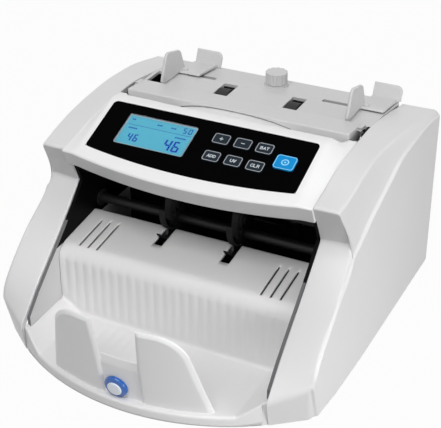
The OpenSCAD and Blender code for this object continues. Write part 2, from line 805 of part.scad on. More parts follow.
hopper_front = 78.6;
hopper_end = rear_face - 0.5;
rail_y = hopper_bend + 6;
rail_w = 6;
rail_x0 = 47;
rail_x1 = 94;
notch_r = pickup_r + 1;
well_x = [guide_x + guide_t + 2.5, frame_xi - 0.6];
well_y = [hopper_front + 2, rail_y - rail_w - 1.5];

module hopper_plate() color(trim_grey) centred() difference() {
  union() {
    along_x(-console_half, 2 * console_half) polygon([
      [hopper_front, hopper_z - hopper_t], [hopper_front, hopper_z], [hopper_bend, hopper_z],
      [hopper_end, hopper_z - hopper_drop], [hopper_end, hopper_z - hopper_drop - hopper_t],
      [hopper_bend, hopper_z - hopper_t]
    ]);
    translate([0, knob_y, hopper_z - 8]) cylinder(h = knob_z - hopper_z + 8, r = knob_r + 1);
  }
  both_sides() {
    box([rail_x0, rail_y - rail_w / 2, hopper_z - 10], [rail_x1, rail_y + rail_w / 2, hopper_z + 1]);
    box([pickup_x - pickup_w / 2 - 1, hopper_front - 1, hopper_z - 10],
      [pickup_x + pickup_w / 2 + 1, pickup[0] + notch_r, hopper_z + 1]);
  }
  box([-well_x[1], well_y[0], hopper_z - 10], [-well_x[0], well_y[1], hopper_z + 1]);
  translate([0, knob_y, hopper_z - 10]) cylinder(h = 20, r = knob_r / 3 + run);
}

guide_z = hopper_z + guide_h;
fin_foot_y = 74.6;
fin_rear_y = hopper_bend + 8;
fin_lift = 1.2;
back_w = 24;
back_top = hopper_z + 8;
back_corner = 5;
carriage_w = 12;
arm_y = hopper_end - 4;
arm_z = hopper_z - hopper_drop + 2.2;
lap_front = hopper_bend;
lap_z = hopper_z + fin_lift;
lap_t = 1.6;
lap_w = 19;

fin_outline = concat(
  [[fin_foot_y + 1, hopper_z + 4], [fin_foot_y + 6.9, guide_z - 4.8]],
  arc([fin_foot_y + 12.7, guide_z - 5], 5, 160, 78, 4),
  arc([fin_rear_y - 10.6, guide_z - 12], 8.5, 78, 20, 4),
  [[fin_rear_y + 2.5, hopper_z + fin_lift + 2], [fin_rear_y + 0.5, hopper_z + fin_lift],
    [fin_foot_y + 2.4, hopper_z + fin_lift]]
);
// Low plate from the fin to the back plate, lying over the rail
lap_outline = [
  [lap_front, lap_z], [arm_y, arm_z], [arm_y, arm_z + lap_t], [lap_front + 0.8, lap_z + lap_t]
];
back_outline = [
  [arm_y - 1, arm_z], [arm_y + 1.6, arm_z], [arm_y + 6, back_top - 0.8], [arm_y + 3.6, back_top]
];
back_face = concat([[0, arm_z - 1], [back_w, arm_z - 1]],
  arc([back_w - back_corner, back_top - back_corner], back_corner, 0, 90, 6), [[0, back_top]]);

// A note guide: side fin, back plate to its right, and a carriage that runs in the slot of the hopper plate
module note_guide(x) {
  foot_x = x + guide_t / 2;
  along_x(x, guide_t) polygon(fin_outline);
  along_x(x, lap_w) polygon(lap_outline);
  intersection() {
    along_x(x, back_w) polygon(back_outline);
    translate([x, arm_y + 10, 0]) rotate([90, 0, 0]) linear_extrude(20) polygon(back_face);
  }
  box([foot_x - carriage_w / 2, rail_y - rail_w / 2 + gap, hopper_z - hopper_t - 5],
    [foot_x + carriage_w / 2, rail_y + rail_w / 2 - gap, hopper_z + fin_lift + 2]);
  box([foot_x - carriage_w / 2, rail_y - rail_w, hopper_z - hopper_t - 5],
    [foot_x + carriage_w / 2, rail_y + rail_w, hopper_z - hopper_t - 2.6]);
}

module left_note_guide() color(trim_grey) centred() note_guide(-guide_x - guide_t);
module right_note_guide() color(trim_grey) centred() note_guide(guide_x);

module gap_knob() color(black) centred() difference() {
  translate([0, knob_y, 0]) {
    translate([0, 0, knob_z + gap]) cylinder(h = 9, r = knob_r);
    translate([0, 0, hopper_z - 12]) cylinder(h = knob_z + gap + 3 - hopper_z + 12, r = knob_r / 3);
  }
  for (i = [0:11])
    translate([0, knob_y, knob_z + gap + 1]) rotate(30 * i) translate([knob_r + 0.6, 0, 0])
      cylinder(h = 9, r = 1.4);
}

// Feed cover on its hinge pins, with the retard pads under it

pad_w = 12;

cover_skin = [
  [cover_front, cover_low], [cover_front, cover_top - 1], [cover_front + 1, cover_top],
  [cover_rear, cover_top - cover_fall], [cover_rear, cover_top - cover_fall - cover_t],
  [cover_front + cover_t, cover_top - cover_t], [cover_front + cover_t, cover_low]
];
cover_end = [
  [cover_front, cover_low], [cover_front, cover_top - 1], [cover_front + 1, cover_top],
  [cover_rear, cover_top - cover_fall], [cover_rear, hinge[1]], [hinge[0], hinge[1] - 3]
];

// Rear tabs of the cover beside its hinges
tab_y = cover_front + 16;
tab_x = bay_half - 0.1;
function cover_z(y) = cover_top - (y - cover_front - 1) * cover_fall / (cover_rear - cover_front - 1);
cover_tab = [
  [tab_y, cover_z(tab_y)], [cover_rear, cover_z(cover_rear)], [cover_rear, cover_z(cover_rear) - cover_t],
  [tab_y, cover_z(tab_y) - cover_t]
];

module feed_cover() color(trim_grey) centred() {
  difference() {
    along_x(-cover_half, 2 * cover_half) polygon(cover_skin);
    translate([0, cover_front + cover_t + 0.6, 0]) rotate([90, 0, 0]) linear_extrude(cover_t + 2)
      polygon(concat(arch_line, [[56, cover_low - 1], [-54, cover_low - 1]]));
  }
  both_sides() {
    along_x(cover_half - cover_t, cover_t) polygon(cover_end);
    along_x(cover_half - cover_t, tab_x - cover_half + cover_t) polygon(cover_tab);
    bar_x(cover_half - cover_t, cover_t, hinge, 2 * hinge_r);
    bar_x(cover_half - cover_t / 2, frame_xo - cover_half + cover_t / 2 - gap, hinge, hinge_r);
  }
}

function cover_under(y) = cover_top - cover_t - (y - cover_front - cover_t) * cover_fall
  / (cover_rear - cover_front - cover_t);

module retard_pads() color(rubber) centred() both_sides()
  along_x(feed_x[0] - pad_w / 2, pad_w) polygon([
    [feed[0] - 5, feed[1] + feed_r + gap], [feed[0] + 5, feed[1] + feed_r + gap],
    [feed[0] + 5, cover_under(feed[0] + 5)], [feed[0] - 5, cover_under(feed[0] - 5)]
  ]);

// Rollers and shafts

module roller(x, w, c, r, bore) {
  difference() {
    bar_x(x - w / 2, w, c, r);
    bar_x(x - w / 2 - 1, w + 2, c, bore + run);
  }
}

// Flanged pulley whose belt track starts at x
module pulley(x, c, r, bore) {
  difference() {
    union() {
      bar_x(x - seat_gap, belt_w + 2 * seat_gap, c, r);
      for (e = [x - seat_gap - flange_t, x + belt_w + seat_gap]) bar_x(e, flange_t, c, r + belt_t + flange_h);
    }
    bar_x(x - 5, belt_w + 10, c, bore + run);
  }
}

function left_track(i) = -pulley_x[i] - belt_w;

module feed_shaft() color(steel) centred() bar_x(-shaft_end, 2 * shaft_end, feed, shaft_r);
module feed_rollers() color(rubber) centred() both_sides() {
  for (i = [0, 1]) roller(feed_x[i], feed_w[i], feed, feed_r, shaft_r);
}
module feed_pulleys() color(belt_black) centred() {
  pulley(pulley_x[0], feed, feed_pulley_r[0], shaft_r);
  pulley(pulley_x[1], feed, feed_pulley_r[1], shaft_r);
  pulley(left_track(0), feed, feed_pulley_r[2], shaft_r);
}

pickup_end = frame_xo + 0.8;

module pickup_shaft() color(steel) centred()
  bar_x(left_track(0) - 2, pickup_end - left_track(0) + 2, pickup, pickup_shaft_r);
module pickup_rollers() color(rubber) centred() both_sides()
  roller(pickup_x, pickup_w, pickup, pickup_r, pickup_shaft_r);
module pickup_pulley() color(belt_black) centred()
  pulley(left_track(0), pickup, pickup_pulley_r, pickup_shaft_r);

module transport_shaft() color(steel) centred() bar_x(-shaft_end, 2 * shaft_end, transport, shaft_r);
module transport_rollers() color(rubber) centred() both_sides()
  roller(transport_x, roller_w, transport, transport_r, shaft_r);
module transport_pulleys() color(belt_black) centred() {
  pulley(pulley_x[1], transport, transport_pulley_r[0], shaft_r);
  pulley(left_track(1), transport, transport_pulley_r[1], shaft_r);
}
module pinch_rollers() color(rubber) centred() both_sides()
  roller(transport_x, roller_w, pinch, pinch_r, pinch_pin_r);

module stacker_shaft() color(steel) centred()
  bar_x(-shaft_end, shaft_end + frame_xo + 3, stacker, shaft_r);
module stacker_pulley() color(belt_black) centred() pulley(left_track(1), stacker, stacker_pulley_r, shaft_r);

// A finger curls back from the hub to the rim; its edges are points on two spirals
finger_sweep = 70;
finger_t = 1.5;
finger_n = 7;
function finger_point(t, side) = let (
  r = hub_r - 1.5 + (finger_r - hub_r + 1.5) * t, a = -finger_sweep * t + side * finger_t / 2 / r * 180 / PI
) r * [cos(a), sin(a)];
finger_outline = concat(
  [for (i = [0:finger_n]) finger_point(i / finger_n, 1)],
  [for (i = [finger_n:-1:0]) finger_point(i / finger_n, -1)]
);

module finger_wheels() color(black) centred() both_sides() difference() {
  translate([0, stacker[0], stacker[1]]) along_x(finger_x - finger_w / 2, finger_w) {
    circle(hub_r);
    for (i = [0:fingers - 1]) rotate(360 / fingers * i) polygon(finger_outline);
  }
  bar_x(finger_x - finger_w, 2 * finger_w, stacker, shaft_r + run);
}

// Motor and belts

motor_x0 = 36;
motor_boss = 2;
rotor_x0 = 70;

module drive_motor() color(steel) centred() difference() {
  union() {
    bar_x(motor_x0, frame_xi - motor_boss - motor_x0, motor, motor_r);
    bar_x(frame_xi - motor_boss - 1, motor_boss + 1, motor, 3 * motor_shaft_r);
  }
  bar_x(rotor_x0 - 1, frame_xi, motor, motor_shaft_r + run);
}

module motor_rotor() color(steel) centred() {
  bar_x(rotor_x0, pulley_x[0] + belt_w + 3 - rotor_x0, motor, motor_shaft_r);
  bar_x(pulley_x[0] - seat_gap, belt_w + 2 * seat_gap, motor, motor_pulley_r);
  for (e = [pulley_x[0] - seat_gap - flange_t, pulley_x[0] + belt_w + seat_gap])
    bar_x(e, flange_t, motor, motor_pulley_r + belt_t + flange_h);
}

module motor_saddle() color(steel) centred() difference() {
  for (x = [motor_x0 + 6, frame_xi - 20.6])
    box([x, motor[0] - 0.8 * motor_r, pan_top], [x + 6, motor[0] + 0.8 * motor_r, motor[1] - 0.3 * motor_r]);
  bar_x(motor_x0 - 1, frame_xi - motor_x0, motor, motor_r + run);
}

// A flat belt round two pulleys, running a little clear of both
module belt(x, a, ra, b, rb) {
  along_x(x, belt_w) difference() {
    hull() {
      translate(a) circle(ra + gap + belt_t, $fn = 2 * hull_fn);
      translate(b) circle(rb + gap + belt_t, $fn = 2 * hull_fn);
    }
    hull() {
      translate(a) circle(ra + gap, $fn = 2 * hull_fn);
      translate(b) circle(rb + gap, $fn = 2 * hull_fn);
    }
  }
}

module drive_belts() color(belt_black) centred() {
  belt(pulley_x[0], motor, motor_pulley_r, feed, feed_pulley_r[0]);
  belt(pulley_x[1], feed, feed_pulley_r[1], transport, transport_pulley_r[0]);
  belt(left_track(0), feed, feed_pulley_r[2], pickup, pickup_pulley_r);
  belt(left_track(1), transport, transport_pulley_r[1], stacker, stacker_pulley_r);
}

// Electrics

board_y = bulkhead_y + bulkhead_t + 6;
board_x = [17.6 - half, 26];
board_z = [pan_top + 9, bulkhead_top - 10];

module main_board() color(board_green) centred() {
  box([board_x[0], board_y, board_z[0]], [board_x[1], board_y + board_t, board_z[1]]);
  for (i = [0:4])
    box([board_x[0] + 8 + 19 * i, board_y + board_t / 2, board_z[0] + 8],
      [board_x[0] + 20 + 19 * i, board_y + 7, board_z[0] + 16]);
  box([-50, board_y + board_t / 2, 55], [-28, board_y + 4, 77]);
  for (x = [-10, 4]) translate([x, board_y + board_t / 2, 66]) rotate([-90, 0, 0]) cylinder(h = 16, r = 5);
}

module board_standoffs() color(brass) centred() {
  for (x = [board_x[0] + 4, board_x[1] - 4], z = [board_z[0] + 4, board_z[1] - 4])
    translate([x, bulkhead_y + bulkhead_t, z]) rotate([-90, 0, 0])
      cylinder(h = board_y - bulkhead_y - bulkhead_t, r = 2.5);
}

core = [44, 40, 36];
core_at = [15.6 - half, rear_face - inlet_depth - 5 - core[1]];

module transformer() color([0.35, 0.33, 0.30]) centred() {
  box([core_at[0], core_at[1], pan_top], [core_at[0] + core[0], core_at[1] + core[1], pan_top + 3]);
  box([core_at[0] + 4, core_at[1] + 4, pan_top + 3 - 1],
    [core_at[0] + core[0] - 4, core_at[1] + core[1] - 4, pan_top + core[2]]);
  box([core_at[0] + 9, core_at[1], pan_top + 10],
    [core_at[0] + core[0] - 9, core_at[1] + core[1], pan_top + core[2] - 7]);
}

vent_n = 9;

module rear_cover() color(shell_grey) centred() difference() {
  union() {
    box([-console_half, rear_face - rear_t, pan_top],
      [console_half, rear_face, hopper_z - hopper_drop - hopper_t - seat_gap]);
    box([-frame_xi + 1, rear_face - 9, hopper_z - hopper_drop - hopper_t - seat_gap - 2.2],
      [frame_xi - 1, rear_face - rear_t / 2, hopper_z - hopper_drop - hopper_t - seat_gap]);
  }
  for (i = [0:vent_n - 1])
    box([20 + 7 * i, rear_face - rear_t - 1, 70], [23 + 7 * i, rear_face + 1, 112]);
  box([inlet_x - inlet_w / 2 - run, rear_face - rear_t - 1, rear_z - inlet_h / 2 - run],
    [inlet_x + inlet_w / 2 + run, rear_face + 1, rear_z + inlet_h / 2 + run]);
  box([switch_x - switch_w / 2 - run, rear_face - rear_t - 1, rear_z - switch_h / 2 - run],
    [switch_x + switch_w / 2 + run, rear_face + 1, rear_z + switch_h / 2 + run]);
  for (p = screw_places)
    translate([p[0], rear_face + 1, p[1]]) rotate([90, 0, 0]) cylinder(h = rear_t + 2, r = screw_r + run);
  translate([fuse_x, rear_face + 1, rear_z]) rotate([90, 0, 0]) cylinder(h = rear_t + 2, r = fuse_r + run);
  box([remote_x - remote_w / 2 - run, rear_face - rear_t - 1, rear_z - remote_h / 2 - run],
    [remote_x + remote_w / 2 + run, rear_face + 1, rear_z + remote_h / 2 + run]);
}

// Fuse holder with a slotted cap, and the socket for a remote display
fuse_x = 2;
fuse_r = 5;
fuse_depth = 18;
remote_x = 30;
remote_w = 18;
remote_h = 10;
remote_depth = 12;

module rear_sockets() color(black) centred() {
  translate([fuse_x, rear_face, rear_z]) rotate([90, 0, 0]) cylinder(h = fuse_depth, r = fuse_r);
  difference() {
    translate([fuse_x, rear_face, rear_z]) rotate([-90, 0, 0]) cylinder(h = 1.8, r = fuse_r + bezel);
    box([fuse_x - fuse_r, rear_face + 1, rear_z - 0.7], [fuse_x + fuse_r, rear_face + 3, rear_z + 0.7]);
  }
  difference() {
    union() {
      box([remote_x - remote_w / 2, rear_face - remote_depth, rear_z - remote_h / 2],
        [remote_x + remote_w / 2, rear_face, rear_z + remote_h / 2]);
      box([remote_x - remote_w / 2 - bezel, rear_face, rear_z - remote_h / 2 - bezel],
        [remote_x + remote_w / 2 + bezel, rear_face + 1.4, rear_z + remote_h / 2 + bezel]);
    }
    box([remote_x - remote_w / 2 + 2, rear_face - remote_depth + 3, rear_z - remote_h / 2 + 2],
      [remote_x + remote_w / 2 - 2, rear_face + 3, rear_z + remote_h / 2 - 2]);
  }
}

bezel = 1.6;
socket_w = 22;
socket_h = 15;
socket_depth = 14;

module power_inlet() color(black) centred() difference() {
  union() {
    box([inlet_x - inlet_w / 2, rear_face - inlet_depth, rear_z - inlet_h / 2],
      [inlet_x + inlet_w / 2, rear_face, rear_z + inlet_h / 2]);
    box([inlet_x - inlet_w / 2 - bezel, rear_face, rear_z - inlet_h / 2 - bezel],
      [inlet_x + inlet_w / 2 + bezel, rear_reach, rear_z + inlet_h / 2 + bezel]);
  }
  translate([inlet_x, rear_reach + 1, rear_z]) rotate([90, 0, 0]) linear_extrude(socket_depth + 1)
    polygon([[-socket_w / 2, -socket_h / 2], [socket_w / 2, -socket_h / 2], [socket_w / 2, socket_h / 2 - 5],
      [socket_w / 2 - 5, socket_h / 2], [-socket_w / 2 + 5, socket_h / 2],
      [-socket_w / 2, socket_h / 2 - 5]]);
  for (p = pin_places)
    box([p[0] - 1, rear_reach - socket_depth - 4, p[1] - 2],
      [p[0] + 1, rear_reach - socket_depth + 1, p[1] + 2]);
}

pin_places = [for (p = [[-7, -2], [7, -2], [0, 3]]) [inlet_x + p[0], rear_z + p[1]]];

module inlet_pins() color(brass) centred() {
  for (p = pin_places)
    box([p[0] - 1, rear_reach - socket_depth - 4, p[1] - 2], [p[0] + 1, rear_reach - 4, p[1] + 2]);
}

module switch_frame() color(black) centred() difference() {
  union() {
    box([switch_x - switch_w / 2, rear_face - 16, rear_z - switch_h / 2],
      [switch_x + switch_w / 2, rear_face, rear_z + switch_h / 2]);
    box([switch_x - switch_w / 2 - bezel, rear_face, rear_z - switch_h / 2 - bezel],
      [switch_x + switch_w / 2 + bezel, rear_reach - 0.8, rear_z + switch_h / 2 + bezel]);
  }
  box([switch_x - rocker_w / 2 - gap, rear_face - 12, rear_z - rocker_h / 2 - 2.4],
    [switch_x + rocker_w / 2 + gap, rear_reach + 1, rear_z + rocker_h / 2 + 2.4]);
  bar_x(switch_x - rocker_w / 2 - 2, rocker_w + 4, [rocker_y, rear_z], rocker_pin_r + run);
}

module power_switch() color(black) centred() translate([0, rocker_y, rear_z]) rotate([rocker_tilt, 0, 0]) {
  along_x(switch_x - rocker_w / 2, rocker_w) polygon([
    [-4, -4], [-4, 4], [0, rocker_h / 2], [rocker_face, rocker_h / 2], [rocker_face - 0.9, 0],
    [rocker_face, -rocker_h / 2], [0, -rocker_h / 2]
  ]);
  bar_x(switch_x - rocker_w / 2 - 1.7, rocker_w + 3.4, [0, 0], rocker_pin_r);
}

// Hopper sensor under its plate, counting sensor on the bulkhead, stacker sensor behind the tray wall
module note_sensors() color(black) centred() {
  box([-5, hopper_front + 0.4, hopper_z - hopper_t - 5.5], [5, hopper_front + 7, hopper_z - hopper_t]);
  box([-18, bulkhead_y - 4, bulkhead_top - 18], [18, bulkhead_y, bulkhead_top - 4]);
  box([-6, wall_y + tray_t, floor_z + 14], [6, wall_y + tray_t + 7, floor_z + 24]);
}

screw_r = 1.5;
screw_places = [for (s = [-1, 1], z = [pan_top + 9, hopper_z - 20]) [s * (half - 11.6), z]];

module case_screws() color(steel) centred() {
  for (p = screw_places) translate([p[0], 0, p[1]]) {
    translate([0, rear_face, 0]) rotate([-90, 0, 0]) cylinder(h = 1.6, r = 2 * screw_r);
    translate([0, rear_face, 0]) rotate([90, 0, 0]) cylinder(h = 6, r = screw_r);
  }
}

base_pan();
rubber_feet();
stacker_tray();
front_plate();
front_cap();
left_cheek();
right_cheek();
left_frame();
right_frame();
tie_rods();
hopper_plate();
rear_cover();
bulkhead();
upper_guide();
console_shell();
control_panel();
display_window();
display_module();
key_board();
key_plus();
key_minus();
key_batch();
key_add();
key_uv();
key_clear();
key_start();
feed_cover();
retard_pads();
left_note_guide();
right_note_guide();
gap_knob();
feed_shaft();
feed_rollers();
feed_pulleys();
pickup_shaft();
pickup_rollers();
pickup_pulley();
transport_shaft();
transport_rollers();
transport_pulleys();
pinch_rollers();
stacker_shaft();
finger_wheels();
stacker_pulley();
shaft_bushes();
drive_motor();
motor_rotor();
motor_saddle();
drive_belts();
main_board();
board_standoffs();
transformer();
power_inlet();
inlet_pins();
switch_frame();
power_switch();
uv_lamp();
note_sensors();
rear_sockets();
case_screws();
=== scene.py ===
import math

import bmesh
import bpy
import numpy as np
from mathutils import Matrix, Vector
from mathutils.geometry import tessellate_polygon


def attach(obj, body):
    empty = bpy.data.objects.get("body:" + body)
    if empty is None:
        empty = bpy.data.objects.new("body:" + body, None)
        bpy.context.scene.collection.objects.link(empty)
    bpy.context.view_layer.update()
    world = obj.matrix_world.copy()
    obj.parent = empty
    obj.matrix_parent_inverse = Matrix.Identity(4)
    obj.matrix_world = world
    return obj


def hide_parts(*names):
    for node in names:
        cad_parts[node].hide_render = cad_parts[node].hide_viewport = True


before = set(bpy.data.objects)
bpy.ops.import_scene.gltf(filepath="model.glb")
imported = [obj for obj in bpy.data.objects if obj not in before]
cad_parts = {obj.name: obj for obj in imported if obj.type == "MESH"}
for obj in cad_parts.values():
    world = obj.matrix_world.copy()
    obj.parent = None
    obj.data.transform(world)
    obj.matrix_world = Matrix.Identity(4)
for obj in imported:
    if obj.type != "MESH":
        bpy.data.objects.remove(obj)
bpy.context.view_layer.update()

# Lengths below are in millimetres from the middle of the casing. MM turns them into Blender's metres, and
# SHIFT moves them to the frame's origin, which lies under the middle of the whole outline.
MM = 0.001
SHIFT = np.array([0, -5.6, 0])


def add_object(name, data):
    obj = bpy.data.objects.new(name, data)
    bpy.context.scene.collection.objects.link(obj)
    return obj


# Camera at the photograph's place

CAM_AZIMUTH = math.radians(26.05)
CAM_ELEVATION = math.radians(30.352)
CAM_DISTANCE = 897.84
CAM_TARGET = np.array([0, 22, 77.26])
CAM_LENS = 94.39

back = np.array([
    math.sin(CAM_AZIMUTH) * math.cos(CAM_ELEVATION),
    -math.cos(CAM_AZIMUTH) * math.cos(CAM_ELEVATION),
    math.sin(CAM_ELEVATION),
])
camera = add_object("camera", bpy.data.cameras.new("camera"))
camera.data.sensor_width = 36
camera.data.lens = CAM_LENS
camera.location = Vector(CAM_TARGET + SHIFT + back * CAM_DISTANCE) * MM
camera.rotation_mode = "QUATERNION"
camera.rotation_quaternion = Vector(-back).to_track_quat("-Z", "Y")
camera.data.clip_start, camera.data.clip_end = 0.02, 50
bpy.context.scene.camera = camera
bpy.context.scene.view_settings.view_transform = "Standard"


# Materials

def linear(c):
    """sRGB 0-255 to linear."""
    c = np.array(c, float) / 255
    return [float(x) for x in np.where(c <= 0.04045, c / 12.92, ((c + 0.055) / 1.055) ** 2.4)]


def new_material(name):
    m = bpy.data.materials.new(name)
    m.use_nodes = True
    tree = m.node_tree
    return m, tree, tree.nodes["Principled BSDF"]


def put(node, values):
    """Sets inputs of a shader node by their names."""
    for name, value in values.items():
        node.inputs[name].default_value = value


def math_node(tree, operation, *values):
    """A maths node on sockets or plain numbers."""
    node = tree.nodes.new("ShaderNodeMath")
    node.operation = operation
    for socket, value in zip(node.inputs, values):
        if isinstance(value, (int, float)):
            socket.default_value = value
        else:
            tree.links.new(value, socket)
    return node.outputs[0]


def surface(
    name, colour, rough, grain=1500, depth=0.02, mottle=0.02,
    metal=0.0, stretch=(1, 1, 1), gloss=0.5, coat=0.0,
):
    """A procedural surface: noise moves its colour and roughness a little, and raises a fine grain."""
    m, tree, shader = new_material(name)
    new, link = tree.nodes.new, tree.links.new
    place = new("ShaderNodeTexCoord")
    scale = new("ShaderNodeMapping")
    put(scale, {"Scale": stretch})
    link(place.outputs["Object"], scale.inputs["Vector"])
    fine = new("ShaderNodeTexNoise")
    put(fine, {"Scale": grain, "Detail": 3})
    broad = new("ShaderNodeTexNoise")
    put(broad, {"Scale": 22, "Detail": 4})
    for noise in (fine, broad):
        link(scale.outputs["Vector"], noise.inputs["Vector"])
    base = np.array(linear(colour))
    ramp = new("ShaderNodeValToRGB")
    dark, light = ramp.color_ramp.elements
    dark.position, light.position = 0.3, 0.7
    dark.color = [*(base * (1 - mottle)), 1]
    light.color = [*np.minimum(base * (1 + mottle), 1), 1]
    link(broad.outputs["Fac"], ramp.inputs["Fac"])
    link(ramp.outputs["Color"], shader.inputs["Base Color"])
    spread = new("ShaderNodeMapRange")
    put(spread, {"To Min": max(rough - 0.06, 0.02), "To Max": min(rough + 0.06, 1)})
    link(fine.outputs["Fac"], spread.inputs["Value"])
    link(spread.outputs["Result"], shader.inputs["Roughness"])
    bump = new("ShaderNodeBump")
    put(bump, {"Strength": depth, "Distance": 0.0004})
    link(fine.outputs["Fac"], bump.inputs["Height"])
    link(bump.outputs["Normal"], shader.inputs["Normal"])
    put(shader, {"Metallic": metal, "Specular IOR Level": gloss, "Coat Weight": coat, "Coat Roughness": 0.08})
    return m


def frame_paint(name, low, edge, high, levels, rough):
    """Paint of the frames: high above a level, and below it low on flat sides and edge on cut edges, where
    edge is painted shadow.

    The two levels are those of the flat sides and of the cut edges.
    """
    m = surface(name, low, rough, grain=1100, depth=0.06, mottle=0.01, gloss=0.05)
    tree = m.node_tree
    new, link = tree.nodes.new, tree.links.new
    base_colour = tree.nodes["Principled BSDF"].inputs["Base Color"]

    def blend(share, a, colour):
        mix = new("ShaderNodeMix")
        mix.data_type = "RGBA"
        link(share, mix.inputs["Factor"])
        link(a, mix.inputs["A"])
        mix.inputs["B"].default_value = [*linear(colour), 1]
        return mix.outputs["Result"]

    place, facing = new("ShaderNodeSeparateXYZ"), new("ShaderNodeSeparateXYZ")
    link(new("ShaderNodeTexCoord").outputs["Object"], place.inputs["Vector"])
    link(new("ShaderNodeNewGeometry").outputs["True Normal"], facing.inputs["Vector"])
    across = math_node(tree, "MULTIPLY", facing.outputs["X"], facing.outputs["X"])
    is_edge = math_node(tree, "LESS_THAN", across, 0.5)
    level = new("ShaderNodeMapRange")
    put(level, {"To Min": levels[0] * MM, "To Max": levels[1] * MM})
    link(is_edge, level.inputs["Value"])
    above = math_node(tree, "GREATER_THAN", place.outputs["Z"], level.outputs["Result"])
    below = blend(is_edge, base_colour.links[0].from_socket, edge)
    link(blend(above, below, high), base_colour)
    return m


def glowing(name, colour, strength, edge):
    """A back-lit face whose light falls off a little from place to place."""
    m, tree, shader = new_material(name)
    noise = tree.nodes.new("ShaderNodeTexNoise")
    put(noise, {"Scale": 60})
    ramp = tree.nodes.new("ShaderNodeValToRGB")
    for stop, tone in zip(ramp.color_ramp.elements, (edge, colour)):
        stop.color = [*linear(tone), 1]
    tree.links.new(noise.outputs["Fac"], ramp.inputs["Fac"])
    tree.links.new(ramp.outputs["Color"], shader.inputs["Emission Color"])
    tree.links.new(ramp.outputs["Color"], shader.inputs["Base Color"])
    put(shader, {"Emission Strength": strength, "Roughness": 0.4})
    return m


def clear(name, colour, rough):
    """Clear glass or plastic, a little uneven in its roughness."""
    m, tree, shader = new_material(name)
    noise = tree.nodes.new("ShaderNodeTexNoise")
    put(noise, {"Scale": 400})
    spread = tree.nodes.new("ShaderNodeMapRange")
    put(spread, {"To Min": rough, "To Max": rough + 0.03})
    tree.links.new(noise.outputs["Fac"], spread.inputs["Value"])
    tree.links.new(spread.outputs["Result"], shader.inputs["Roughness"])
    put(shader, {"Base Color": [*linear(colour), 1], "Transmission Weight": 1, "IOR": 1.2})
    return m


# Grain drawn out along X, as on turned shafts
ALONG_X = (0.05, 1, 1)

shell = surface("shell", (224, 223, 224), 0.34, grain=1400, depth=0.06, mottle=0.008)
white = surface("console_white", (240, 240, 240), 0.36, grain=1600, depth=0.04, mottle=0.006)
tray_grey = surface("tray_grey", (230, 229, 229), 0.42, grain=1400, depth=0.05, mottle=0.008)
# A darker copy of the shell and console plastics, used as painted shade on undersides
painted_underside_shade = surface("painted_shade_grey", (204, 204, 205), 0.42, depth=0.05, mottle=0.008)
trim = surface("trim", (209, 209, 209), 0.40, grain=1400, depth=0.05, mottle=0.008)
# The front plate's copy of the shell plastic is lighter: painted light on the front-facing wings
wing_lightened_grey = surface("wing_lightened_grey", (237, 237, 238), 0.34, depth=0.04, mottle=0.006)
# The low grey is the frames' own paint; the mid-grey of the cut edges is painted shadow beside the cheeks'
# inner edges
frame_tones_and_shade = frame_paint("frame_paint", (206, 206, 207), (116, 116, 118), (5, 5, 6), (66.5, 82.0), 0.5)
zinc = surface("zinc", (168, 171, 176), 0.38, grain=500, depth=0.06, mottle=0.06, metal=1.0)
steel = surface(
    "steel", (190, 192, 196), 0.24, grain=700, depth=0.04, mottle=0.04, metal=1.0, stretch=ALONG_X)
bronze = surface("bronze", (190, 150, 92), 0.35, grain=600, depth=0.04, mottle=0.06, metal=1.0)
black = surface("black_plastic", (14, 14, 15), 0.55, grain=1200, depth=0.08, mottle=0.05, gloss=0.2)
dark_steel = surface(
    "dark_steel", (30, 30, 32), 0.45, grain=700, depth=0.04, mottle=0.06, gloss=0.3, stretch=ALONG_X)
gloss_black = surface("panel_black", (3, 3, 4), 0.3, grain=1800, depth=0.015, mottle=0.05, gloss=0.006)
rubber = surface("rubber", (26, 26, 27), 0.75, depth=0.2, mottle=0.08)
belt = surface("belt", (20, 20, 20), 0.65, grain=1000, depth=0.2, mottle=0.08)
key_face = surface("key_face", (30, 40, 49), 0.35, depth=0.03, mottle=0.05, gloss=0.08)
key_line = surface("key_line", (168, 172, 178), 0.4)
sign = surface("key_sign", (216, 224, 230), 0.4)
blue = surface("start_blue", (2, 142, 212), 0.42, mottle=0.03, gloss=0.12)
sky = surface("start_sign", (150, 220, 252), 0.4, gloss=0.2)
cap_blue = surface("cap_blue", (12, 92, 178), 0.22, mottle=0.03, coat=0.4)
cap_pale = surface("cap_pale", (232, 240, 248), 0.2, coat=0.4)
board = surface("circuit_board", (22, 92, 58), 0.4, grain=400, depth=0.1, mottle=0.2)
core = surface("core", (86, 80, 74), 0.55, grain=800, depth=0.2, mottle=0.15, stretch=(1, 12, 1))
lcd_lit = glowing("display_lit", (62, 160, 168), 0.22, (66, 150, 182))
lcd_rim = glowing("display_rim", (166, 196, 208), 0.22, (160, 190, 204))
lcd_ink = surface("display_ink", (4, 58, 160), 0.5, mottle=0.04, gloss=0.0)
glass = clear("display_glass", (238, 246, 250), 0.01)
lamp = clear("lamp_glass", (226, 226, 246), 0.05)

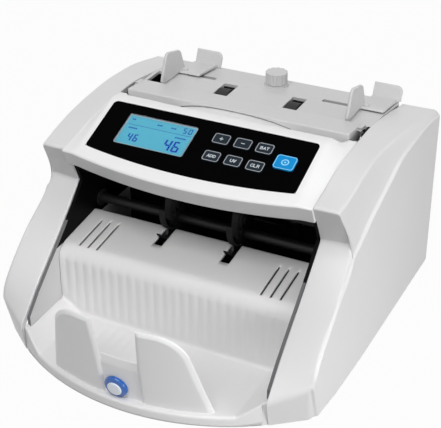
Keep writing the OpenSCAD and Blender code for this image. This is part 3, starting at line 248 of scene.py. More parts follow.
NODE_MATERIAL = {
    zinc: ("base_pan", "display_module", "drive_motor", "motor_saddle"),
    rubber: ("rubber_feet", "retard_pads", "feed_rollers", "pickup_rollers", "transport_rollers",
             "pinch_rollers"),
    tray_grey: ("stacker_tray",),
    trim: ("hopper_plate", "feed_cover", "left_note_guide", "right_note_guide", "gap_knob"),
    wing_lightened_grey: ("front_plate",),
    cap_blue: ("front_cap",),
    shell: ("left_cheek", "right_cheek", "rear_cover"),
    frame_tones_and_shade: ("left_frame", "right_frame"),
    steel: ("tie_rods", "feed_shaft", "pickup_shaft", "motor_rotor", "case_screws"),
    dark_steel: ("transport_shaft", "stacker_shaft", "shaft_bushes"),
    black: ("bulkhead", "upper_guide", "feed_pulleys", "pickup_pulley", "transport_pulleys", "finger_wheels",
            "stacker_pulley", "power_inlet", "switch_frame", "power_switch", "note_sensors", "rear_sockets"),
    white: ("console_shell",),
    gloss_black: ("control_panel",),
    glass: ("display_window",),
    board: ("key_board", "main_board"),
    key_face: ("key_plus", "key_minus", "key_batch", "key_add", "key_uv", "key_clear"),
    blue: ("key_start",),
    bronze: ("board_standoffs", "inlet_pins"),
    belt: ("drive_belts",),
    core: ("transformer",),
    lamp: ("uv_lamp",),
}
for material, names in NODE_MATERIAL.items():
    for name in names:
        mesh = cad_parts[name].data
        mesh.materials.clear()
        mesh.materials.append(material)


# Mesh helpers

def soften(node, width):
    """Rounds the sharp edges of a CAD node."""
    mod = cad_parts[node].modifiers.new("round", "BEVEL")
    mod.width = width * MM
    mod.segments = 3
    mod.limit_method = "ANGLE"
    mod.angle_limit = math.radians(35)
    mod.harden_normals = True
    mod.use_clamp_overlap = True


def piece(
    name, points, faces, material, body="housing", slot=None, stands_for=(), sharp=40, sheet=0.0, even=False,
):
    """A mesh from points in millimetres, riding on a body.

    A sheet is thickened behind its faces. Edges are sharp from an angle up, and even flattens the shading.
    """
    points = np.asarray(points, float).reshape(-1, 3) + SHIFT
    mesh = bpy.data.meshes.new(name)
    mesh.from_pydata([Vector(p) * MM for p in points], [], [list(f) for f in faces])
    mesh.validate()
    bm = bmesh.new()
    bm.from_mesh(mesh)
    bmesh.ops.remove_doubles(bm, verts=bm.verts, dist=1e-6)
    if not sheet:
        bmesh.ops.recalc_face_normals(bm, faces=bm.faces)
    bm.to_mesh(mesh)
    bm.free()
    mesh.polygons.foreach_set("use_smooth", [True] * len(mesh.polygons))
    mesh.set_sharp_from_angle(angle=math.radians(sharp))
    mesh.materials.append(material)
    obj = add_object(name, mesh)
    if sheet:
        thick = obj.modifiers.new("thickness", "SOLIDIFY")
        thick.thickness = sheet * MM
        thick.offset = -1
    if even:
        obj.modifiers.new("even", "WEIGHTED_NORMAL").keep_sharp = True
    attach(obj, body)
    if stands_for:
        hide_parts(*stands_for)
    return obj


def paint_shade_under(obj, lean, y_range):
    """Gives the faces that lean forward and down, between two y, a darker grey: painted shade on an
    underside.
    """
    obj.data.materials.append(painted_underside_shade)
    low, high = [(y + SHIFT[1]) * MM for y in y_range]
    for f in obj.data.polygons:
        if f.normal.z < lean and f.normal.y < -0.6 and low < f.center.y < high:
            f.material_index = 1


def smooth_step(t):
    t = np.clip(t, 0, 1)
    return t * t * (3 - 2 * t)


def blur(line, width):
    """Eases a run of evenly spaced points with a bell-shaped window, keeping its ends."""
    n = int(3 * width)
    window = np.exp(-0.5 * (np.arange(-n, n + 1) / width) ** 2)
    window /= window.sum()
    first, last = line[:1], line[-1:]
    padded = np.concatenate([2 * first - line[n:0:-1], line, 2 * last - line[-2:-n - 2:-1]])
    return np.stack([np.convolve(padded[:, k], window, "valid") for k in range(line.shape[1])], 1)


def rounded(points, radii, n=6):
    """A polyline whose inner corners are eased over the given lengths."""
    p = np.asarray(points, float)
    out = [p[0]]
    for i in range(1, len(p) - 1):
        before, after = p[i - 1] - p[i], p[i + 1] - p[i]
        lb, la = np.linalg.norm(before), np.linalg.norm(after)
        r = min(radii[i], 0.45 * lb, 0.45 * la)
        s, e = p[i] + before / max(lb, 1e-9) * r, p[i] + after / max(la, 1e-9) * r
        for t in np.linspace(0, 1, n):
            out.append((1 - t) ** 2 * s + 2 * t * (1 - t) * p[i] + t * t * e)
    out.append(p[-1])
    return np.array(out)


def arc(centre, radius, a0, a1, n):
    """Points of an arc from one angle to another, in degrees."""
    a = np.radians(np.linspace(a0, a1, n))
    return np.column_stack([centre[0] + radius * np.cos(a), centre[1] + radius * np.sin(a)])


def circle(centre, radius, n):
    return arc(centre, radius, 0, 360, n + 1)[:-1]


def box_outline(w, h, r, n=6):
    """Closed outline of a box with rounded corners."""
    corners = ((1, 1), (-1, 1), (-1, -1), (1, -1))
    return np.concatenate([
        arc((sx * (w / 2 - r), sy * (h / 2 - r)), r, 90 * i, 90 * i + 90, n)
        for i, (sx, sy) in enumerate(corners)
    ])


def at_x(x, line):
    """(y, z) points as rows at one x."""
    return np.column_stack([np.full(len(line), x), line])


def at_depth(outline, depth):
    """(u, v) points as rows at one depth."""
    return np.column_stack([outline, np.full(len(outline), depth)])


def outward(loop):
    """Outward directions at the points of a closed counter-clockwise loop, longer at its corners."""
    def side(d):
        d = d / np.linalg.norm(d, axis=1)[:, None]
        return np.column_stack([d[:, 1], -d[:, 0]])
    a, b = side(loop - np.roll(loop, 1, 0)), side(np.roll(loop, -1, 0) - loop)
    return (a + b) / np.maximum(1 + np.sum(a * b, axis=1), 0.5)[:, None]


def strip_faces(a, b):
    """Quads between two closed loops of point numbers."""
    n = len(a)
    return [(a[i], a[(i + 1) % n], b[(i + 1) % n], b[i]) for i in range(n)]


def grid_faces(m, n, closed=False):
    """Quads of an m by n grid of points; closed joins the last column to the first."""
    last = n if closed else n - 1
    return [
        (i * n + j, i * n + (j + 1) % n, (i + 1) * n + (j + 1) % n, (i + 1) * n + j)
        for i in range(m - 1) for j in range(last)
    ]


def filled(loops, points):
    """Triangles that fill a flat loop of point numbers, around the holes that the other loops are."""
    numbers = [q for loop in loops for q in loop]
    flat = [[Vector((*points[q], 0)) for q in loop] for loop in loops]
    return [tuple(numbers[q] for q in t) for t in tessellate_polygon(flat)]


def loft(sections):
    """Points and faces of a solid through closed sections, with both ends closed."""
    sections = np.asarray(sections, float)
    m, n = sections.shape[:2]
    ends = [tuple(range(n)), tuple(range((m - 1) * n, m * n))]
    return sections.reshape(-1, 3), grid_faces(m, n, closed=True) + ends


def prism(outline, low, high, place):
    """A straight prism over a closed outline; place maps (u, v, depth) rows to the machine's axes."""
    return loft([place(at_depth(outline, w)) for w in (low, high)])


def ring(outer, inner, low, high, place):
    """A flat ring between two closed outlines with the same number of points."""
    n = len(outer)
    edges = ((inner, low), (outer, low), (outer, high), (inner, high))
    loops = [range(k * n, k * n + n) for k in range(4)]
    faces = [f for k in range(4) for f in strip_faces(loops[k - 1], loops[k])]
    return place(np.concatenate([at_depth(outline, w) for outline, w in edges])), faces


def round_rings(r, thick, n=5):
    """(outset, depth) steps of an edge rounded by r on both faces of a plate."""
    a = np.linspace(0, math.pi / 2, n)
    front = [(r * math.sin(t), r * (1 - math.cos(t))) for t in a]
    return front + [(o, thick - d) for o, d in front[::-1]]


def rounded_slab(outline, r, thick, place):
    """A flat plate with edges rounded by r."""
    loop = outline - outward(outline) * r
    away = outward(loop)
    return loft([place(at_depth(loop + away * o, d)) for o, d in round_rings(r, thick)])


def bent_slab(grid, rings, place):
    """A plate that bends, on a grid of 2-D points; its edge runs through rings of (outset, depth)."""
    m, n = grid.shape[:2]
    number = np.arange(m * n).reshape(m, n)
    border = np.concatenate([number[0], number[1:, -1], number[-1, -2::-1], number[-2:0:-1, 0]])
    flat = grid.reshape(-1, 2)
    loop = flat[border]
    away, b = outward(loop), len(border)
    points = [at_depth(flat, rings[0][1])] + [at_depth(loop + away * o, d) for o, d in rings[1:]]
    front = grid_faces(m, n)
    faces, before = list(front), border
    for k in range(len(rings) - 1):
        after = np.arange(b) + m * n + k * b
        faces += strip_faces(before, after)
        before = after
    start = m * n + (len(rings) - 1) * b
    points.append(at_depth(flat, rings[-1][1]))
    faces += [tuple(start + q for q in f) for f in front]
    faces += strip_faces(before, start + border)
    return place(np.concatenate(points)), faces


def lathe(profile, place, n=48):
    """A round solid from (radius, height) rows, the first and last on the axis."""
    rows = [at_depth(circle((0, 0), r, n), h) for r, h in profile[1:-1]]
    tips = [(0, 0, profile[0][1]), (0, 0, profile[-1][1])]
    k = len(rows)
    faces = grid_faces(k, n, closed=True)
    for tip, first in ((k * n, 0), (k * n + 1, (k - 1) * n)):
        faces += [(tip, first + i, first + (i + 1) % n) for i in range(n)]
    return place(np.concatenate([*rows, tips])), faces


def merge(parts):
    """Several (points, faces) as one."""
    points, faces, k = [], [], 0
    for p, f in parts:
        points.append(np.asarray(p, float).reshape(-1, 3))
        faces += [tuple(i + k for i in q) for q in f]
        k += len(points[-1])
    return np.concatenate(points), faces


# Cheeks: the edge lines of the casing, eased along their length and across their corners

HALF = 99.6
FOOT = 2.0
REAR, HANG = 145.0, 156.0
# Inner edge (y, z), band edge (x, y, z) and ridge (x, y, z), from the rear top over the nose to the front
# foot; x starts at the inner edge
CHEEK_ROWS = [
    ((HANG - 4.5, 137.4), (27.2, HANG - 2, 136.6), (30.4, HANG, 131.5)),
    ((112, 145.7), (25.8, 110, 145.9), (32.2, 117, 139.5)),
    ((73, 151.6), (23.6, 68, 150.6), (31.6, 66, 138.8)),
    ((45, 151.9), (21.4, 40, 151.6), (30.7, 39.3, 130.1)),
    ((20, 151), (20.6, 20, 150.7), (29.8, 18.6, 121.7)),
    ((0, 148.6), (20.6, 0, 148), (28.7, 2, 113.5)),
    ((-20, 143.8), (20.4, -20, 143.6), (27.4, -7.5, 105.2)),
    ((-40, 140), (18.7, -39.6, 140), (26.7, -16, 99.9)),
    ((-31, 122.5), (20.4, -30, 123), (26.5, -20, 98.2)),
    ((-22, 105), (22.6, -22, 107), (27, -25.6, 96.6)),
    ((-35, 92.8), (24.9, -32.5, 93.5), (27.4, -34, 90)),
    ((-55, 75), (25.2, -56, 75.6), (27.9, -57, 75)),
    ((-73, 60), (25.2, -75, 60.7), (27.9, -76.6, 59)),
    ((-92, 43.5), (25.2, -89.5, 46.2), (27.9, -90.6, 44.4)),
    ((-112, 23.5), (24.7, -97, 32.7), (27.4, -95.6, 33.9)),
    ((-107.7, FOOT), (23.4, -89.5, FOOT), (27.2, -84.5, FOOT)),
]
# Ground line (y, x), and the last row whose ridge stands over its own point of it
GROUND = [(-84.5, 27.2), (-60, 29.6), (-10, 31.6), (90, 33), (REAR, 33.9)]
GROUND_LAST = 12
CORNER_ROWS = (0, 7, 9, 14, 15)
STEPS_PER_ROW = 16
# The side stands out from the facet above it by a rounded shoulder, which becomes a chamfer down the ramp.
# Each row has the shoulder's upper and lower edges, from the ridge.
SHOULDER_SHARE = (0.1, 0.6, 1, 1, 1, 1, 1, 0.9, 0.7, 0.5)
RAMP_ROWS = 5
SHOULDER_ROWS = [((-2.4 * s, 0, 1.2 * s), (0, 0, 0)) for s in SHOULDER_SHARE]
SHOULDER_ROWS += [((-1.9, 0, 0), (0.1, 1.0, -1.3))] * RAMP_ROWS + [((-1.9, 0, 0), (0, 1.4, 0))]
# Width of the turned-in walls at the inner edge and at the foot, and how far each edge line is rounded
TURN_IN = 5.0
CHEEK_ROUND = (0, 0.9, 2.2, 0.9, 1.4, 0.8, 0)
# Behind this y the rear of a cheek is closed all round
REAR_BLOCK = 140.4
# Height of the seam between a cheek and the console, as (y, z)
SEAM = np.array([r[0] for r in CHEEK_ROWS[7:0:-1]], float)


def eased_line(p):
    """Points along an edge line: a curve through its rows that keeps its corners, then eased a little."""
    p = np.asarray(p, float)
    out = []
    for i in range(len(p) - 1):
        chord = p[i + 1] - p[i]
        t0 = chord if i in CORNER_ROWS else 0.5 * (p[i + 1] - p[i - 1])
        t1 = chord if i + 1 in CORNER_ROWS else 0.5 * (p[i + 2] - p[i])
        t = np.linspace(0, 1, STEPS_PER_ROW, endpoint=False)[:, None]
        h = (2 * t ** 3 - 3 * t ** 2 + 1, t ** 3 - 2 * t ** 2 + t, -2 * t ** 3 + 3 * t ** 2, t ** 3 - t ** 2)
        out.append(h[0] * p[i] + h[1] * t0 + h[2] * p[i + 1] + h[3] * t1)
    return blur(np.concatenate(out + [p[-1:]]), 1.6)


def cheek_grid():
    """Points of a cheek's skin: a rounded line across it at each step along its edge lines."""
    ys, xs = zip(*GROUND)
    inner = eased_line([(0, *r[0]) for r in CHEEK_ROWS])
    band = eased_line([r[1] for r in CHEEK_ROWS])
    facet, ridge = [
        eased_line([np.add(r[2], s[k]) for r, s in zip(CHEEK_ROWS, SHOULDER_ROWS)]) for k in (0, 1)
    ]
    foot_y = [REAR] + [CHEEK_ROWS[min(i, GROUND_LAST)][2][1] for i in range(1, len(CHEEK_ROWS))]
    foot = eased_line([(np.interp(y, ys, xs), y, FOOT) for y in foot_y])
    tangent = np.gradient(inner, axis=0)[:, 1:]
    tangent /= np.linalg.norm(tangent, axis=1)[:, None]
    inward = np.column_stack([np.zeros(len(inner)), -tangent[:, 1], tangent[:, 0]])
    edges = [inner + inward * TURN_IN, inner, band, facet, ridge, foot, foot - [TURN_IN, 0, 0]]
    return np.array([rounded(line, CHEEK_ROUND, n=7) for line in np.stack(edges, axis=1)])


def make_cheek(name, node, side):
    grid = cheek_grid()
    m, n = grid.shape[:2]
    skin = np.concatenate([grid.reshape(-1, 3), [(0, REAR, FOOT)]])
    rear = [(m * n, i, i + 1) for i in range(n - 1)]
    # The faces that close the rear lie just inside the skin
    (top_y, top_z), (ridge_x, _, ridge_z), foot_x = CHEEK_ROWS[0][0], CHEEK_ROWS[0][2], GROUND[-1][1]
    block = [
        (0.1, top_y - 0.4, top_z - 0.4), (0.1, REAR - 0.2, FOOT),
        (0.1, REAR_BLOCK, FOOT), (0.1, REAR_BLOCK, top_z), (ridge_x - 2, REAR_BLOCK, ridge_z),
        (foot_x - 2, REAR_BLOCK, FOOT), (foot_x - 2, REAR - 0.2, FOOT),
    ]
    closing = [(0, 1, 2, 3), (3, 2, 5, 4), (1, 6, 5, 2)]
    points, faces = merge([(skin, grid_faces(m, n) + rear), (block, closing)])
    points = (points + [HALF, 0, 0]) * [side, 1, 1]
    obj = piece(name, points, faces, shell, slot="shell_plastic", stands_for=(node,), sharp=50)
    # Painted shade on the undersides of the noses
    paint_shade_under(obj, lean=-0.2, y_range=(-45, -15))


make_cheek("cheek_right", "right_cheek", 1)
make_cheek("cheek_left", "left_cheek", -1)


# Console

PITCH = math.radians(20.4)
PANEL_Y, PANEL_Z = -10.75, 152.65
PANEL_TOP = 12.0
CREST_R = 17.5
CREST = np.array([
    PANEL_TOP + CREST_R * math.sin(PITCH),
    PANEL_Z + (PANEL_TOP - PANEL_Y) * math.tan(PITCH) - CREST_R * math.cos(PITCH),
])
CREST_ANGLES = np.linspace(-math.degrees(PITCH), 80, 34)
CONSOLE_HALF = HALF - 0.06
# Half the width of the flat slope, beyond which the console sinks to the cheeks
SLOPE_HALF = 87.0
LIP_Y, LIP_R, LIP_H, LIP_BACK = -51.8, 495.0, 14.5, 7.0
LEDGE_Y, LEDGE_Z = 44.5, 145.5
SEAT_GAP = 0.3
COVER_HALF, COVER_FRONT, COVER_REAR = 92.8, 45.8, 72.5
COVER_TOP, COVER_LOW, COVER_FALL, COVER_T = 155.7, 147.2, 2.7, 2.5
# How far the arch in the cover's front wall lies below its top, along x
ARCH_X = (-54, -46, -38, -30, -22, -10, 6, 18, 28, 36, 44, 50, 56)
ARCH_DROP = (8.5, 6.1, 4.0, 2.6, 1.8, 1.3, 1.4, 2.0, 2.8, 3.9, 5.5, 6.9, 8.5)
# The finger dish rises to the arch, and a sill runs on under it
DISH_GAP, DISH_REAR, DISH_DIP, DISH_START = 0.5, COVER_FRONT - 0.8, 1.4, 20.0
SILL = 2.2
# Beside the cheeks the rear of the console rises to the cover as well
RISE_X, RISE_END, RISE_Z = COVER_HALF - 8, COVER_HALF + 1, COVER_LOW + 4.3
PANEL_W, PANEL_L, PANEL_BULGE, PANEL_CORNER = 168.0, 49.2, 7.2, 4.0
PANEL_SINK, PANEL_PLAY = 1.6, 0.05


def on_panel(p):
    """(x, up the slope, out of the panel) rows to the machine's axes."""
    x, up, out = np.asarray(p, float).T
    c, s = math.cos(PITCH), math.sin(PITCH)
    return np.column_stack([x, PANEL_Y + up * c - out * s, PANEL_Z + up * s + out * c])


def settle(x, p):
    """Lowers (y, z) points of the console at x to the cheek's edge line, the nearer it the more."""
    drop = np.maximum(0, p[:, 1] - np.interp(p[:, 0], SEAM[:, 0], SEAM[:, 1]) + SEAT_GAP)
    share = smooth_step((abs(x) - SLOPE_HALF) / (CONSOLE_HALF - SLOPE_HALF))
    return p - np.outer(drop * share, [0, 1])


ARCH_FINE = np.linspace(-70, 70, 281)
ARCH_LINE = blur(np.column_stack([ARCH_FINE, COVER_TOP - np.interp(ARCH_FINE, ARCH_X, ARCH_DROP)]), 9)


def arch(x):
    """Lower edge of the cover's front wall at x."""
    return float(np.interp(x, ARCH_LINE[:, 0], ARCH_LINE[:, 1]))


def crest_point(degrees):
    """(y, z) on the round crest, at an angle to the rear of its top."""
    a = np.radians(degrees)
    return CREST + CREST_R * np.stack([np.sin(a), np.cos(a)], axis=-1)


def console_column(x):
    """Outer (y, z) line of the console at x, from inside the lip to the rear ledge.

    Also gives the numbers of the points where its flat slope starts and ends.
    """
    ys = np.linspace(LIP_Y + x * x / (2 * LIP_R), PANEL_TOP, 9)
    slope = settle(x, np.column_stack([ys, PANEL_Z + (ys - PANEL_Y) * math.tan(PITCH)]))
    edge = slope[0]
    lip = edge + [LIP_BACK, -LIP_H]
    nose = rounded([lip + [2.6, 6], lip + [2.6, 0.4], lip, edge, slope[1]], [0, 1.0, 1.4, 2.6, 0], n=7)
    # Where the crest rises to the cover, it runs out into a dish
    arched = float(smooth_step(3 * (arch(x) - COVER_LOW) / (COVER_TOP - COVER_LOW)))
    risen = max(arched, float(smooth_step((abs(x) - RISE_X) / (RISE_END - RISE_X))))
    reach = np.clip((CREST_ANGLES - DISH_START) / (CREST_ANGLES[-1] - DISH_START), 0, 1)[:, None]
    start = crest_point(DISH_START)
    end = np.array([DISH_REAR, RISE_Z if abs(x) > RISE_X else arch(x) - DISH_GAP])
    dish = start + reach * (end - start) - np.sin(math.pi * reach) * [0, DISH_DIP]
    crest = crest_point(CREST_ANGLES)
    crest = np.where(reach > 0, crest * (1 - risen) + dish * risen, crest)
    crest = settle(x, blur(crest, 1.2))
    brow = crest[-1]
    sill = brow + [0.05 + SILL * arched, -0.2 * arched]
    rear = rounded([
        crest[-2], brow, sill, [sill[0] + 0.3, min(LEDGE_Z, sill[1] - 1)],
        [max(LEDGE_Y, sill[0] + 0.35), LEDGE_Z - 0.6], [max(LEDGE_Y, sill[0] + 0.4), LEDGE_Z - 2.5],
    ], [0, 0.5 * risen, 0.3, 1.5, 0.8, 0], n=4)
    line = np.concatenate([nose[:-1], slope[1:-1], crest[:-1], rear[1:]])
    return line, len(nose) - 2, len(nose) + len(slope) - 3


def panel_outline(grow, n=8):
    """Closed outline of the black panel: square corners eased, and a bulging lower edge."""
    h, top, r = PANEL_W / 2 + grow, PANEL_L / 2 + grow, PANEL_CORNER
    xs = np.linspace(-h + r, h - r, 41)
    low = -PANEL_L / 2 - grow - PANEL_BULGE * (1 - (xs / (PANEL_W / 2)) ** 2)
    lean = math.degrees(math.atan(2 * PANEL_BULGE / (PANEL_W / 2)))
    return np.concatenate([
        np.column_stack([xs, low]),
        arc((h - r, low[-1] + r), r, -90 + lean, 0, n)[1:],
        arc((h - r, top - r), r, 0, 90, n),
        arc((-h + r, top - r), r, 90, 180, n),
        arc((-h + r, low[0] + r), r, 180, 270 - lean, n)[:-1],
    ])


def make_console():
    flat = np.linspace(-SLOPE_HALF, SLOPE_HALF, 87)
    roll = np.linspace(SLOPE_HALF, CONSOLE_HALF, 15)[1:]
    xs = np.concatenate([-roll[::-1], flat, roll])
    columns = [console_column(x) for x in xs]
    first, last = columns[0][1:]
    skin = np.array([at_x(x, column[0]) for x, column in zip(xs, columns)])
    m, n = skin.shape[:2]
    # The flat slope is one plane with a hole for the panel
    i0, i1 = len(roll), len(roll) + len(flat) - 1
    faces = []
    for f in grid_faces(m, n):
        i, j = divmod(f[0], n)
        if not (i0 <= i < i1 and first <= j < last):
            faces.append(f)
    rim = [i * n + first for i in range(i0, i1)] + [i1 * n + j for j in range(first, last)]
    rim += [i * n + last for i in range(i1, i0, -1)] + [i0 * n + j for j in range(last, first, -1)]
    outline = panel_outline(PANEL_PLAY)
    hole, floor = [on_panel(at_depth(outline, w)) for w in (0, -PANEL_SINK)]
    points = np.concatenate([skin.reshape(-1, 3), hole, floor])
    hole_rim = np.arange(len(hole)) + m * n
    up = (points[:, 1] - PANEL_Y) * math.cos(PITCH) + (points[:, 2] - PANEL_Z) * math.sin(PITCH)
    faces += filled([rim, hole_rim], np.column_stack([points[:, 0], up]))
    faces += strip_faces(hole_rim, hole_rim + len(hole))
    for end in (0, m - 1):
        faces += filled([range(end * n, end * n + n)], points[:, 1:])
    obj = piece(
        "console", points, faces, white, slot="console_plastic", stands_for=("console_shell",), sharp=42)
    # Painted shade on the face of the lip below the console's front edge
    paint_shade_under(obj, lean=0.0, y_range=(-60, -25))


make_console()


# Keys

KEY_W, KEY_H, KEY_CORNER, KEY_RISE = 13.0, 9.8, 1.9, 0.9
# Foot and top of what is printed on a key, out of the panel
PRINT = (KEY_RISE - 0.1, KEY_RISE + 0.06)
STROKE_W = 0.52
KEYS = {
    "key_plus": (13.0, 8.6, "+"), "key_minus": (30.1, 8.6, "-"), "key_batch": (47.2, 8.6, "BAT"),
    "key_add": (13.0, -9.0, "ADD"), "key_uv": (30.1, -9.0, "UV"), "key_clear": (47.2, -9.0, "CLR"),
}
START_X, START_W, START_H, START_CORNER = 66.5, 15.6, 13.0, 2.3
# Strokes of the signs, in a cell one unit wide and 1.4 units high
LETTERS = {
    "A": [[(0, 0), (0.5, 1.4), (1, 0)], [(0.2, 0.5), (0.8, 0.5)]],
    "B": [
        [(0, 0), (0, 1.4), (0.8, 1.3), (0.75, 0.8), (0, 0.72)],
        [(0.75, 0.72), (0.95, 0.4), (0.8, 0.05), (0, 0)],
    ],
    "T": [[(0, 1.4), (1, 1.4)], [(0.5, 0), (0.5, 1.4)]],
    "D": [[(0, 0), (0, 1.4), (0.65, 1.3), (0.95, 0.9), (0.95, 0.5), (0.65, 0.1), (0, 0)]],
    "U": [[(0, 1.4), (0, 0.3), (0.3, 0), (0.7, 0), (1, 0.3), (1, 1.4)]],
    "V": [[(0, 1.4), (0.5, 0), (1, 1.4)]],
    "C": [[(0.95, 1.1), (0.7, 1.4), (0.25, 1.4), (0, 1.05), (0, 0.35), (0.25, 0), (0.7, 0), (0.95, 0.3)]],
    "L": [[(0, 1.4), (0, 0), (0.9, 0)]],
    "R": [[(0, 0), (0, 1.4), (0.8, 1.35), (0.9, 1.05), (0.75, 0.75), (0, 0.7)], [(0.5, 0.7), (0.95, 0)]],
    "+": [[(0, 0.7), (1, 0.7)], [(0.5, 0.2), (0.5, 1.2)]],
    "-": [[(0, 0.7), (1, 0.7)]],
}


def panel_at(x, up):
    """Maps rows measured from a place on the panel."""
    return lambda p: on_panel(np.asarray(p, float) + [x, up, 0])


def stroke(a, b, place):
    """A printed stroke between two points, a little longer than they are apart."""
    d = (b - a) / np.linalg.norm(b - a)
    n = np.array([-d[1], d[0]]) * STROKE_W / 2
    a, b = a - d * STROKE_W * 0.4, b + d * STROKE_W * 0.4
    return prism([a - n, b - n, b + n, a + n], *PRINT, place)


def lettering(text, cell, place):
    pitch = 1.35 * cell
    left = -(len(text) - 1) * pitch / 2 - cell / 2
    strokes = []
    for i, letter in enumerate(text):
        for line in LETTERS[letter]:
            line = cell * np.array(line) + [left + i * pitch, -0.7 * cell]
            strokes += [stroke(a, b, place) for a, b in zip(line[:-1], line[1:])]
    return merge(strokes)


def key_outline(w, h, corner, place):
    """The line printed round the top of a key."""
    outer, inner = box_outline(w - 0.5, h - 0.5, corner), box_outline(w - 1.5, h - 1.5, corner - 0.5)
    return ring(outer, inner, *PRINT, place)


for node, (x, up, text) in KEYS.items():
    place = panel_at(x, up)
    outline = key_outline(KEY_W, KEY_H, KEY_CORNER, place)
    marks = lettering(text, 2.6 if text in "+-" else 1.75, place)
    piece(node + "_outline", *outline, key_line, body=node, slot="key_plastic")
    piece(node + "_sign", *marks, sign, body=node, slot="key_plastic")

place = panel_at(START_X, 0)
outline = key_outline(START_W, START_H, START_CORNER, place)
marks = merge([
    ring(circle((0, 0), 2.9, 32), circle((0, 0), 2.0, 32), *PRINT, place),
    prism(circle((0, 0), 0.75, 16), *PRINT, place),
])
piece("key_start_outline", *outline, sky, body="key_start", slot="start_plastic")
piece("key_start_sign", *marks, sky, body="key_start", slot="start_plastic")


# The lit display under its window, with seven-bar digits

DISPLAY_X, DISPLAY_W, DISPLAY_H = -36.9, 56.8, 30.2
LIT_TOP, LIT_T = -1.12, 0.2
SEGMENTS = {"0": "abcdef", "4": "bcfg", "5": "acdfg", "6": "acdefg"}
# Text, its lower left corner, the width and height of a digit and the width of its bars
NUMBERS = (
    ("46", -20.5, -10.6, 3.6, 7.4, 1.05),
    ("46", 10.0, -12.2, 5.6, 10.6, 1.5),
    ("50", 18.0, 7.2, 3.0, 5.4, 0.75),
)
DIGIT_GAP = 1.5
# Short dashes for the small captions: the lower left corner of a row, and how many it has
CAPTIONS = ((-25, 10.0, 2), (-24, 1.4, 5), (-3.5, 9.2, 3), (8, 9.2, 3), (15, 1.2, 6))
DASH_W, DASH_H, DASH_PITCH = 1.05, 1.3, 1.5


def digit(ch, x, up, w, h, t):
    """Bars (left, low, right, high) of one seven-bar digit whose lower left corner is at (x, up)."""
    right, top, mid = x + w, up + h, up + h / 2
    bar = {
        "a": (x + t, top - t, right - t, top),
        "b": (right - t, mid + 0.2, right, top - 0.3),
        "c": (right - t, up + 0.3, right, mid - 0.2),
        "d": (x + t, up, right - t, up + t),
        "e": (x, up + 0.3, x + t, mid - 0.2),
        "f": (x, mid + 0.2, x + t, top - 0.3),
        "g": (x + t, mid - t / 2, right - t, mid + t / 2),
    }
    return [bar[s] for s in SEGMENTS[ch]]


def make_display():
    place = panel_at(DISPLAY_X, 0)
    low = LIT_TOP - LIT_T
    face = prism(box_outline(DISPLAY_W - 0.3, DISPLAY_H - 0.3, 1.4), low, LIT_TOP, place)
    outer = box_outline(DISPLAY_W - 0.2, DISPLAY_H - 0.2, 1.6)
    inner = box_outline(DISPLAY_W - 2, DISPLAY_H - 2, 1)
    piece("display_face", *face, lcd_lit, slot="display_glass")
    piece("display_frame", *ring(outer, inner, low, LIT_TOP + 0.08, place), lcd_rim, slot="display_glass")
    # A dividing line, the digits and the captions
    bars = [(-DISPLAY_W / 2 + 2.2, 5.2, DISPLAY_W / 2 - 2.2, 5.5)]
    for text, x, up, w, h, t in NUMBERS:
        for i, ch in enumerate(text):
            bars += digit(ch, x + i * (w + DIGIT_GAP), up, w, h, t)
    for x, up, count in CAPTIONS:
        bars += [(a, up, a + DASH_W, up + DASH_H) for a in x + DASH_PITCH * np.arange(count)]
    foot, top = LIT_TOP - 0.05, LIT_TOP + 0.06
    ink = [prism([(a, b), (c, b), (c, d), (a, d)], foot, top, place) for a, b, c, d in bars]
    piece("display_digits", *merge(ink), lcd_ink, slot="display_glass")


make_display()


# Feed cover with its finger arch

HINGE = np.array([69.0, 146.0])
HINGE_R = 2.0
FRAME_OUT = HALF - 0.6
TAB_Y = COVER_FRONT + 16
BAY_HALF = 96.3


def cover_section(x):
    """Closed (y, z) outline of the cover at x: its top, and its front wall down to the arch."""
    low, wall, rear_z = max(arch(x), COVER_LOW), COVER_FRONT + COVER_T, COVER_TOP - COVER_FALL
    return rounded([
        (wall, max(COVER_TOP - COVER_T, low + 0.1)), (wall, low), (COVER_FRONT, low),
        (COVER_FRONT, COVER_TOP), (COVER_REAR, rear_z), (COVER_REAR, rear_z - COVER_T),
        (wall + 1, COVER_TOP - COVER_T),
    ], [0, 0.5, 0.9, 1.6, 1.0, 0.5, 0], n=6)


def make_cover():
    parts = [loft([at_x(x, cover_section(x)) for x in np.linspace(-COVER_HALF, COVER_HALF, 140)])]
    rear_z = COVER_TOP - COVER_FALL
    end_wall = np.concatenate([
        [(COVER_FRONT + 0.6, COVER_LOW), (COVER_FRONT + 0.6, COVER_TOP - 1.4)],
        [(COVER_REAR - 0.4, rear_z - 0.4), (COVER_REAR - 0.4, HINGE[1])],
        arc(HINGE, 2 * HINGE_R, 0, -120, 10),
    ])
    tab_z = np.interp(TAB_Y, [COVER_FRONT, COVER_REAR], [COVER_TOP, rear_z])
    top = np.array([(TAB_Y, tab_z), (COVER_REAR, rear_z)])
    tab = np.concatenate([top - [0, 1.2], top, top[::-1] - [0, COVER_T]])
    tab = rounded(tab, [0, 0, 0.6, 0.6, 0.6, 0], n=5)
    for s in (-1, 1):
        side = lambda p: np.column_stack([s * p[:, 2], p[:, 0], p[:, 1]])
        parts.append(prism(tab, COVER_HALF - 0.4, BAY_HALF - 0.1, side))
        parts.append(prism(end_wall, COVER_HALF - COVER_T, COVER_HALF - 0.02, side))
        parts.append(prism(circle(HINGE, HINGE_R, 24), COVER_HALF - 1, FRAME_OUT - 0.4, side))
    piece("cover", *merge(parts), trim, body="feed_cover", slot="trim_plastic", stands_for=("feed_cover",))


make_cover()


# Stacker tray: skirt, floor with raised corners, pleated wall, slotted step and rear hem

